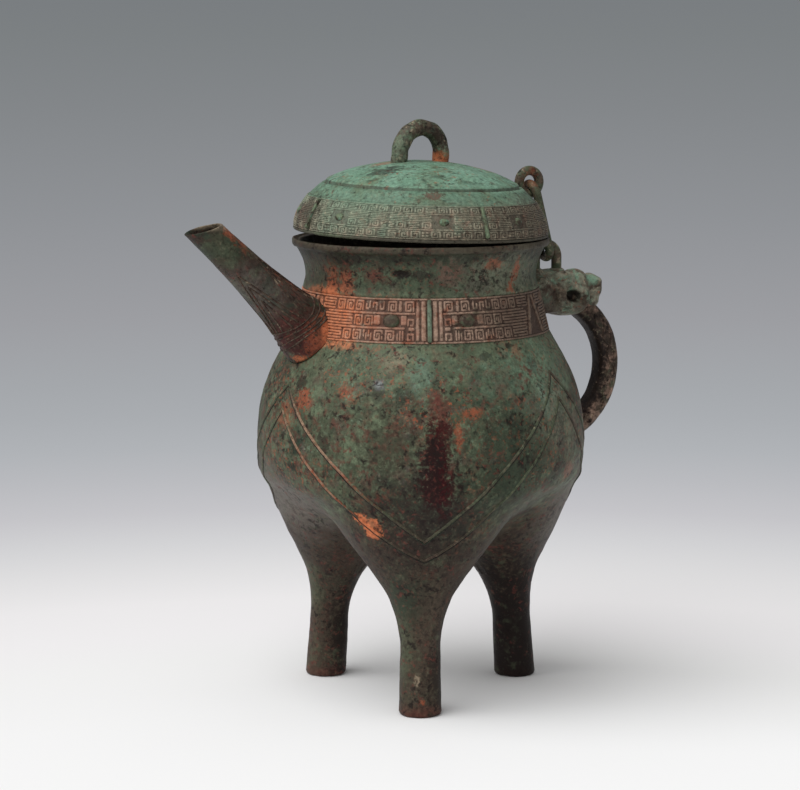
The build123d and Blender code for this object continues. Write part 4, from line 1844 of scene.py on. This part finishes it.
def pot_finish() -> Patina:
    """The pot and legs: mottled green above, dark earth below, with the stain patches that the photograph shows, and
    patches of painted shade, shadow, highlight and reflection.
    """
    hue = Pigment
    return Patina(
        base=hue.DEEP_GREEN,
        blooms=(Bloom(hue.MOSS, 26, 0.32, 0.50), Bloom(hue.LEAF, 11, 0.46, 0.64, 0.85, 0.4),
                Bloom(hue.BROWN, 12, 0.50, 0.66, 0.8, 0.9)),
        flecks=(Bloom(hue.CUPRITE, 5, 0.48, 0.64, 0.6, 1.3, 30), Bloom(hue.DARK, 8, 0.50, 0.66, 0.7, 2.1, 26),
                Bloom(hue.GREY, 5, 0.54, 0.70, 0.6, 2.9, 22), Bloom(hue.RUST, 1.9, 0.53, 0.66, 0.85, 3.7, 30),
                Bloom(hue.PALE_GREEN, 2.4, 0.54, 0.70, 0.5, 4.4, 24), Bloom(hue.DARK, 1.7, 0.57, 0.68, 0.8, 5.9, 20)),
        crusts=(Bloom(hue.DARK, 3.2, 0.51, 0.63, 0.85, 6.6, 16), Bloom(hue.CUPRITE, 3, 0.54, 0.66, 0.7, 7.7, 20),
                Bloom(hue.MOSS, 5, 0.52, 0.66, 0.45, 8.8, 18)),
        tides=(Tide(hue.LEAF, 156, 178, 0.4), Tide(hue.DEEP_GREEN, 202, 207, 0.5, 12),
               Tide(hue.DARK, 216, 221, 0.6, 14), Tide(hue.BROWN, 222.8, 224.2, 0.6, 2),
               Tide(hue.EARTH, 112, 80, 0.85, 40), Tide(hue.CUPRITE, 8, 1.5, 0.5, 14)),
        # Grey on the lower flanks of the lobes: partly grey crust, partly a painted highlight and a painted reflection
        # of the pale floor.
        patches=(Patch(hue.GREY, (-62, 16.7, 98), (17, 30, 24), 0.95, 1.5, 0.6),
                Patch(hue.GREY, (62, -28, 86), (17, 26, 24), 0.75, 1.5, 0.6),
                Patch(hue.GREY, (-12, 62, 96), (40, 16, 24), 0.6, 1.5, 0.6),
                Patch(hue.SOOT_AND_SHADE, (-48, -69, 106), (26, 22, 16), 0.9, 1.5, 0.8),
                Patch(hue.SOOT_AND_SHADE, (-30, -77, 100), (19, 12, 14), 0.85, 1.5, 0.8),
                Patch(hue.SOOT_AND_SHADE, (-40, -60, 84), (22, 16, 10), 0.6, 1.5, 0.7),
                # Near-black over the leg under the handle: painted shadow, because that leg stands in shade.
                Patch(hue.DARK, (55, 0, 20), (34, 34, 68), 1, 1.5, 0.5, 0.2),
                Patch(hue.DEEP_GREEN, (4, -80, 124), (26, 16, 26), 0.8, 1.8, 0.7),
                Patch(hue.EARTH, (-52, -64, 134), (16, 16, 10), 0.5, 2, 0.7),
                Patch(hue.MOSS, (-37, -45, 36), (7, 7, 26), 0.75, 2.4, 0.7),
                Patch(hue.DEEP_GREEN, (-37, -50, 60), (11, 10, 12), 0.8, 2.4, 0.7),
                Patch(hue.BROWN, (-25, -57, 46), (7, 7, 30), 0.6, 2.4, 0.7),
                Patch(hue.DARK, (-19, -55, 20), (8, 8, 24), 0.8, 2.6, 0.6),
                Patch(hue.TAN, (-33.1, -53, 18.3), (1.6, 5, 2.6), 0.7, 2, 0.3, 0.8),
                Patch(hue.RUST, (-31.3, -54, 8), (2, 4, 2), 0.9, 1, 0.2),
                Patch(hue.CUPRITE, (-30, -58, 73.5), (3, 5, 4), 0.85, 1.6),
                Patch(hue.BROWN, (-38, 49, 26), (6, 9, 32), 0.7, 2, 0.6),
                Patch(hue.MOSS, (-37, 44, 52), (5, 8, 16), 0.7, 2, 0.6),
                Patch(hue.DARK, (-21, 40, 28), (9, 9, 36), 0.9, 2.2, 0.5),
                Patch(hue.CUPRITE, (-34, 46, 29.2), (2.4, 5, 3), 0.9, 1.2, 0.2),
                Patch(hue.CUPRITE, (-31, -72, 151), (4.4, 7, 12), 0.75, 2.2),
                Patch(hue.WINE, (-33, -76, 135), (6, 8, 16), 0.92, 1.8),
                Patch(hue.WINE, (-34, -77, 118), (8, 8, 17), 0.97, 1.8),
                Patch(hue.DARK, (-36, -76, 126), (3.6, 8, 16), 0.7, 3.4),
                Patch(hue.RUST, (-17, -77.5, 149.5), (5.5, 5, 2.2), 0.9, 3, 0.3, 0.8),
                Patch(hue.RUST, (-23.6, -77.5, 140.5), (1.6, 4, 7), 0.85, 3, 0.3, 0.8),
                Patch(hue.ORANGE, (-60.2, -47, 98.8), (2.6, 5, 2.8), 1, 1.4, 0.12, 0.1),
                Patch(hue.ORANGE, (-56.9, -51.2, 95.6), (4.4, 6, 3.8), 1, 1.4, 0.12, 0.1),
                Patch(hue.ORANGE, (-55.6, -53, 91.4), (3.4, 6, 3.6), 1, 1.4, 0.12, 0.1),
                Patch(hue.RUST, (-64.5, -41.5, 157.9), (4, 5, 5), 0.9, 3.4, 0.3, 0.8),
                Patch(hue.RUST, (-76.5, -17.5, 152.5), (4.6, 5.5, 6), 0.9, 3, 0.3, 0.7),
                Patch(hue.RUST, (-79.5, -7.4, 145.7), (4, 6, 5), 0.6, 3, 0.4),
                Patch(hue.STEEL, (-53, -53.5, 163.5), (2.4, 3.2, 3), 0.85, 1.6),
                Patch(hue.SOOT_AND_SHADE, (-53.5, -54, 157.8), (2.8, 3.2, 4), 0.65, 1.8, 0.6),
                # Dark vertical streak down the cleft between the front and right lobes: painted shade in the crease.
                Patch(hue.SOOT_AND_SHADE, (37.5, -73, 133), (4, 5, 19), 0.75, 1.8),
                Patch(hue.RUST, (46.5, -65, 115), (5, 6, 6), 0.5, 2.4),
                Patch(hue.SOOT_AND_SHADE, (24, -67, 169), (2.6, 3.5, 6), 0.75, 1.8, 0.5),
                Patch(hue.SOOT_AND_SHADE, (-2.6, -67.5, 175), (3.2, 3, 2.4), 0.85, 2.2),
                Patch(hue.SOOT_AND_SHADE, (-74, -34.5, 134.4), (3.2, 4, 3.6), 0.75, 2.4),
                Patch(hue.SOOT_AND_SHADE, (-74, -12.4, 161), (3, 4, 4), 0.7, 2.4),
                Patch(hue.TAN, (-44.5, -53, 173), (6, 6, 5), 0.4, 3, 0.7),
                Patch(hue.TURQUOISE, (-35, -62, 169), (5, 5, 8), 0.4, 2.6, 0.8),
                Patch(hue.TURQUOISE, (26.5, -72.5, 155), (3, 4, 9), 0.45, 2, 0.7),
                Patch(hue.RUST, (16, -66, 177), (3, 4, 4), 0.7, 2.4),
                Patch(hue.MALACHITE, (26, -66, 165), (34, 20, 14), 0.36, 2.2, 0.7, 0.7),
                Patch(hue.SAGE, (40, -70, 140), (20, 16, 20), 0.34, 2.2, 0.7, 0.7),
                Patch(hue.ORANGE, (-62, -20, 179.4), (12, 18, 2), 0.75, 2.4, 0.5, 0.7),
                Patch(hue.ORANGE, (-75, -14, 170), (4, 6, 2.6), 0.7, 2.6, 0.5, 0.8),
                Patch(hue.BROWN, (-56, -5, 209), (10, 22, 13), 0.6, 2.4, 0.6, 0.8),
                Patch(hue.RUST, (-57, -12, 207), (6, 5, 10), 0.9, 3, 0.4, 0.8),
                Patch(hue.RUST, (-54, -22, 206), (5, 5, 8), 0.75, 3, 0.4, 0.8),
                Patch(hue.ORANGE, (-59.5, -10, 202), (8, 15, 3.6), 0.75, 1.8, 0.5),
                Patch(hue.SOOT_AND_SHADE, (-54, -20, 219), (8, 14, 4), 0.6, 2.4, 0.5, 0.7),
                Patch(hue.CUPRITE, (-46, -35, 213), (5, 6, 4), 0.8, 3.4, 0.3, 0.85),
                Patch(hue.CUPRITE, (-15, -57, 213), (8, 5, 5), 0.8, 3.4, 0.3, 0.85),
                Patch(hue.DARK, (-2, -57, 207), (7, 5, 3.6), 0.75, 2.6),
                Patch(hue.DARK, (-27, -50, 213), (5, 5, 2.4), 0.8, 2.6),
                Patch(hue.SAGE, (14, -54, 210), (30, 16, 12), 0.42, 2.6, 0.7, 0.7),
                Patch(hue.RUST, (22.6, -54, 213), (2.6, 4, 5), 0.8, 2.8, 0.3),
                Patch(hue.RUST, (19, -55, 206.5), (2.2, 4, 4), 0.8, 2.8, 0.3),
                Patch(hue.RUST, (7, -59, 217), (4, 3, 2.6), 0.7, 2.8),
                Patch(hue.DARK, (-36.4, -45, 213.6), (5, 5, 2), 0.95, 1, 0.3, 0.1),
                # Black over the whole inside of the neck and shoulder: painted shade inside the pot.
                Patch(hue.SOOT_AND_SHADE, (0, 0, 212), (55.4, 55.4, 60), 1, 0.1, 0.03, 0)))


def thread_finish() -> Patina:
    """The belly's threads: worn green and brown, orange on the spout's side."""
    hue = Pigment
    return Patina(base=hue.MOSS, blooms=(Bloom(hue.BROWN, 12, 0.44, 0.60), Bloom(hue.DARK, 6, 0.54, 0.66, 0.7, 0.6)),
                  tides=(Tide(hue.EARTH, 112, 84, 0.7, 40),),
                  patches=(Patch(hue.RUST, (-74, -34, 122), (14, 30, 44), 0.8, 2.4),
                          Patch(hue.TAN, (-74, -34, 140), (12, 26, 24), 0.6, 3.4),
                          Patch(hue.ORANGE, (-57, -51, 95), (5.5, 7, 7), 1, 0.6, 0.2, 0.1)), dust=hue.TAN, dusty=0.5)


def shadow_line_finish() -> Patina:
    """Painted shadow: the dark wires just below the belly's threads."""
    return Patina(base=Pigment.SOOT_AND_SHADE, blooms=(Bloom(Pigment.DEEP_GREEN, 9, 0.50, 0.62, 0.8),), dusty=0.1)


def neck_band_finish() -> Patina:
    """The neck's scrollwork: orange near the spout, buff before, dark towards the handle."""
    hue = Pigment
    return Patina(
        base=hue.BUFF,
        blooms=(Bloom(hue.BROWN, 8, 0.52, 0.68, 0.8, 0.2), Bloom(hue.RUST, 7, 0.54, 0.68, 0.8, 0.8),
                Bloom(hue.MOSS, 6, 0.58, 0.70, 0.8, 1.6)),
        flecks=(Bloom(hue.DARK, 2.6, 0.56, 0.68, 0.7, 2.2), Bloom(hue.TAN, 2.2, 0.56, 0.70, 0.6, 3.1)),
        patches=(Patch(hue.EARTH, (32, -50, 190), (40, 36, 30), 0.82, 1.2, 0.5, 0.4),
                Patch(hue.EARTH, (40, 40, 190), (46, 40, 20), 0.85, 0.6, 0.5, 0.3),
                Patch(hue.ORANGE, (-62, -14, 190), (20, 26, 20), 0.95, 1.2, 0.5, 0.3),
                Patch(hue.RUST, (-42, -46, 190), (16, 16, 16), 0.5, 2, 0.6),
                Patch(hue.ORANGE, (-60, 20, 190), (16, 22, 18), 0.8, 1, 0.5, 0.3)),
        ridge=hue.TAN, ridge_strength=0.18, groove=hue.EARTH, groove_strength=0.75, dust=hue.TAN, dusty=0.3)


def neck_lump_finish() -> Patina:
    """The noses and eyes of the neck's masks: brown, the front nose paler and greener."""
    hue = Pigment
    return Patina(base=hue.BROWN, blooms=(Bloom(hue.MOSS, 6, 0.46, 0.62), Bloom(hue.EARTH, 5, 0.50, 0.64, 0.8, 0.7)),
                  patches=(Patch(hue.PALE_GREEN, (-27, -56, 191), (2.4, 5, 11), 0.75, 1),),
                  dust=hue.TAN, dusty=0.3)


def spout_finish() -> Patina:
    """The spout: dark earth and grey-green, rust on its upper side, red-black at its root."""
    hue = Pigment
    return Patina(
        base=hue.EARTH,
        blooms=(Bloom(hue.DEEP_GREEN, 12, 0.44, 0.58, 0.9, 0.3), Bloom(hue.MOSS, 8, 0.52, 0.66, 0.8, 1.1)),
        flecks=(Bloom(hue.CUPRITE, 3, 0.54, 0.66, 0.8, 1.9, 16), Bloom(hue.DARK, 4, 0.54, 0.68, 0.8, 2.6)),
        # Grey along the spout's lower side: partly grey crust, partly a painted sheen that reflects the pale floor.
        patches=(Patch(hue.GREY, (-94, -6, 204), (26, 7, 11), 0.6, 2, 0.7),
                Patch(hue.MOSS, (-112, -8, 226), (8, 7, 9), 0.7, 2, 0.6),
                Patch(hue.RUST, (-107, -4, 233), (4, 4, 4), 0.9, 2, 0.4),
                Patch(hue.RUST, (-100, -4, 227), (4, 4, 4), 0.7, 2.4, 0.4),
                Patch(hue.BROWN, (-92, -2, 221), (7, 5, 6), 0.8, 2.2, 0.5),
                Patch(hue.RUST, (-78, 0, 209), (12, 7, 12), 0.7, 2, 0.5),
                Patch(hue.CUPRITE, (-72, -10, 182), (14, 13, 13), 0.6, 2.6, 0.6, 0.8),
                Patch(hue.WINE, (-74, -10, 182), (9, 12, 10), 0.7, 3, 0.5, 0.7),
                Patch(hue.RUST, (-66, -17, 184), (8, 6, 9), 0.7, 3.4, 0.4, 0.9),
                Patch(hue.ORANGE, (-74, -10, 171), (7, 8, 1.8), 0.75, 2.6, 0.5, 0.8),
                Patch(hue.ORANGE, (-61, -18, 188), (3.4, 5, 9), 0.75, 2.6, 0.5, 0.8),
                Patch(hue.TAN, (-118, 0, 236.4), (14, 12, 1.8), 0.6, 1.2, 0.5)), dust=hue.TAN, dusty=0.25)


def spout_line_finish() -> Patina:
    """The spout's raised lines: worn brown with rust and tan."""
    hue = Pigment
    return Patina(base=hue.EARTH, blooms=(Bloom(hue.BROWN, 5, 0.42, 0.58, 0.9), Bloom(hue.TAN, 4, 0.56, 0.70, 0.7, 1.2),
                                          Bloom(hue.CUPRITE, 4, 0.54, 0.66, 0.9, 2.3)))


def strap_finish() -> Patina:
    """The strap: brown outside, its inner face painted black as shade."""
    hue = Pigment
    return Patina(base=hue.EARTH,
                  blooms=(Bloom(hue.BROWN, 7, 0.38, 0.52, 0.95), Bloom(hue.BUFF, 5, 0.44, 0.66, 0.7, 0.7)),
                  flecks=(Bloom(hue.MOSS, 6, 0.50, 0.64, 0.8, 1.7, 16), Bloom(hue.DARK, 4, 0.52, 0.64, 0.9, 2.6)),
                  # Near-black on the strap's inner face: painted shade, standing in for the shadow of the hollow
                  # channel.
                  patches=(Patch(hue.DARK, (74.6, 0, 157.7), (32.4, 40, 32.4), 0.97, 0.2, 0.05, 0.2),
                          Patch(hue.SOOT_AND_SHADE, (104, -6, 170), (8, 4, 14), 0.7, 2.2, 0.5),
                          Patch(hue.CUPRITE, (90, 0, 130), (10, 5, 5), 0.7, 1.6, 0.4)),
                  dust=hue.TAN, dusty=0.3, metal=0.3)


def head_finish() -> Patina:
    """The animal head: green and brown, its eye hollows painted dark as shade."""
    hue = Pigment
    # Near-black in the eye hollows: painted shade in the recesses.
    eyes = tuple(Patch(hue.DARK, (84.2, side * 8, 193.6), (4.4, 6, 3), 0.95, 0.4, 0.3, 0.1) for side in (-1, 1))
    return Patina(
        base=hue.SAGE,
        blooms=(Bloom(hue.BROWN, 7, 0.46, 0.60, 0.9), Bloom(hue.MALACHITE, 5, 0.50, 0.64, 0.7, 0.7),
                Bloom(hue.TAN, 4, 0.54, 0.70, 0.7, 2.2)),
        flecks=(Bloom(hue.EARTH, 5, 0.50, 0.62, 0.9, 3, 14), Bloom(hue.RUST, 2.6, 0.57, 0.68, 0.7, 1.6)),
        patches=(Patch(hue.MALACHITE, (97, -7, 202.4), (4, 5, 4), 0.8, 1.2),
                Patch(hue.EARTH, (68, -4, 188), (10, 16, 16), 0.8, 1.2, 0.5),
                Patch(hue.EARTH, (90, -8, 188), (10, 8, 3.6), 0.7, 1.6, 0.5)) + eyes)


def lid_finish() -> Patina:
    """The lid: malachite green on top, grey and brown towards its edge."""
    hue = Pigment
    return Patina(
        base=hue.MALACHITE,
        blooms=(Bloom(hue.TURQUOISE, 20, 0.42, 0.60, 0.6), Bloom(hue.LEAF, 12, 0.48, 0.64, 0.7, 1.2),
                Bloom(hue.PALE_GREEN, 5, 0.50, 0.68, 0.7, 0.5)),
        flecks=(Bloom(hue.EARTH, 4, 0.52, 0.66, 0.7, 2, 22), Bloom(hue.RUST, 2.4, 0.55, 0.68, 0.7, 2.7, 20),
                Bloom(hue.DEEP_GREEN, 7, 0.52, 0.66, 0.6, 3.3, 26)),
        tides=(Tide(hue.MOSS, 256, 248, 0.4, 12), Tide(hue.SAGE, 249, 240, 0.6, 14),
               Tide(hue.EARTH, 238, 231, 0.8, 10)),
        patches=(Patch(hue.SOOT_AND_SHADE, (-31, -14.4, 260.5), (9, 6, 3), 0.7, 2.4),
                Patch(hue.SOOT_AND_SHADE, (-22, -14, 262.5), (4, 4, 2), 0.6, 2.4),
                Patch(hue.EARTH, (-60, 5, 244), (7, 18, 12), 0.75, 2.2),
                Patch(hue.LEAF, (-56, -16, 236), (14, 22, 8), 0.7, 1.6),
                Patch(hue.EARTH, (50, -30, 238), (26, 30, 9), 0.7, 1.6),
                Patch(hue.RUST, (28, -12.5, 260), (7, 3, 2.4), 0.8, 2.2),
                Patch(hue.RUST, (12, -2, 264), (7, 6, 2.4), 0.7, 2.2),
                Patch(hue.RUST, (-20, 2, 263), (7, 5, 2.4), 0.6, 2.4),
                Patch(hue.CUPRITE, (-20, -46, 250), (4, 5, 2.4), 0.7, 2),
                # Black over the lid's tongue and underside: painted shade where the lid sits in the neck.
                Patch(hue.SOOT_AND_SHADE, (0, 0, 215), (60, 60, 30), 1, 0.1, 0.05, 0)),
        ridge=hue.MALACHITE, ridge_strength=0, groove=hue.EARTH, groove_strength=0.55)


def lid_band_finish() -> Patina:
    """The lid's scrollwork: worn lines, green on the spout's side and brown towards the handle."""
    hue = Pigment
    return Patina(
        base=hue.SAGE,
        blooms=(Bloom(hue.BUFF, 7, 0.48, 0.64, 0.6, 0.4), Bloom(hue.MALACHITE, 9, 0.54, 0.68, 0.5, 1.1)),
        flecks=(Bloom(hue.TAN, 2.2, 0.54, 0.70, 0.7, 2.1), Bloom(hue.EARTH, 3, 0.54, 0.66, 0.8, 3, 16),
                Bloom(hue.RUST, 2, 0.57, 0.68, 0.6, 3.9, 20)),
        tides=(Tide(hue.MALACHITE, 241, 247, 0.4, 8), Tide(hue.BROWN, 235, 230, 0.4, 8)),
        patches=(Patch(hue.MALACHITE, (-50, -24, 243), (24, 28, 14), 0.55, 1.6, 0.6),
                Patch(hue.EARTH, (36, -46, 238), (40, 34, 22), 0.75, 1.6, 0.6, 0.5),
                Patch(hue.EARTH, (-61, 6, 243), (8, 14, 12), 0.8, 2, 0.5)),
        ridge=hue.TAN, ridge_strength=0.2, groove=hue.EARTH, groove_strength=0.5, dust=hue.TAN, dusty=0.35)


def lid_lump_finish() -> Patina:
    """The lid's flanges and eyes."""
    hue = Pigment
    return Patina(base=hue.LEAF,
                  blooms=(Bloom(hue.EARTH, 5, 0.46, 0.60, 0.9), Bloom(hue.MALACHITE, 4, 0.54, 0.66, 0.7, 0.8)),
                  patches=(Patch(hue.SOOT_AND_SHADE, (-9, -60, 239), (4, 6, 4), 0.7, 1),))


def grip_finish() -> Patina:
    """The lid's grip: green and tan specks over brown, dark and rust on one leg."""
    hue = Pigment
    return Patina(
        base=hue.BROWN,
        blooms=(Bloom(hue.LEAF, 6, 0.44, 0.60, 0.8), Bloom(hue.PALE_GREEN, 3, 0.52, 0.68, 0.6, 2.4)),
        flecks=(Bloom(hue.TAN, 2.2, 0.55, 0.68, 0.8, 0.8), Bloom(hue.DARK, 3, 0.52, 0.66, 0.9, 1.5)),
        patches=(Patch(hue.PALE_GREEN, (-14, -3, 268), (6, 8, 11), 0.35, 2),
                Patch(hue.DARK, (6, 0, 276), (8, 7, 8), 0.75, 1.8, 0.5),
                Patch(hue.ORANGE, (10.6, 0, 264.5), (7, 7, 4), 0.8, 2, 0.5)))


def ring_finish() -> Patina:
    """The tether's rings: green and tan over brown."""
    hue = Pigment
    return Patina(base=hue.BROWN, blooms=(Bloom(hue.MOSS, 6, 0.42, 0.56), Bloom(hue.TAN, 3.6, 0.52, 0.68, 0.7, 0.7),
                                          Bloom(hue.DARK, 4, 0.54, 0.66, 0.8, 1.4)),
                  patches=(Patch(hue.RUST, (62, -3, 254), (4, 8, 5), 0.5, 2),))


def dress_node(name: str, coat: Coat) -> None:
    """Gives a CAD node that stays in view a finish."""
    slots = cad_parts[name].data.materials
    slots.clear()
    slots.append(coat)
    LOG.info("%s: finished as packed", name)


def main() -> None:
    """Builds and dresses every piece in order."""
    logging.basicConfig(level=logging.INFO, format="%(message)s")
    form, where = PotForm(), LidFrame()
    cast = pot_finish()
    Pot(form).dress(cast)
    BellyThreads(form).dress(thread_finish(), shadow_line_finish())
    # The legs share the pot's finish, with its painted shadow over the leg under the handle.
    leg_coat = cast.material("leg_patina")
    for name in LEG_ANGLES:
        Leg(name, form).dress(leg_coat)
    neck = Frieze("neck", Body.VESSEL, Slot.POT, neck_sheet(), line=((63.4, 181.0), (58.2, 202.1)), panels=3, start=4.0,
                  eye_column=30.0, eye_half=(4.0, 3.2, 2.3), flange_half=(1.0, 10.2, 1.5), bare=(4.0,))
    neck.dress(neck_band_finish(), neck_lump_finish())
    Spout(form).dress(spout_finish(), spout_line_finish())
    Handle().dress(strap_finish(), head_finish())
    lid = Lid(where)
    lid.dress(lid_finish())
    band = Frieze("lid", Body.LID, Slot.LID, lid_sheet(), line=lid.band, panels=4, start=0.0, eye_column=33.5,
                  eye_half=(2.6, 2.0, 1.5), flange_half=(0.8, 7.8, 1.1), place=where.place(), ground=0.2, height=0.5)
    band.dress(lid_band_finish(), lid_lump_finish())
    Bail(where).dress(grip_finish())
    rings = ring_finish().material("ring_patina")
    EyeFoot().dress(rings)
    for name in ("handle_eye", "tether_link", "lid_eye"):
        dress_node(name, rings)
    clay = FiredClay().material("core_clay")
    for name in LEG_ANGLES:
        dress_node("core_" + name, clay)
    Studio().dress()


if __name__ == "__main__":
    main()
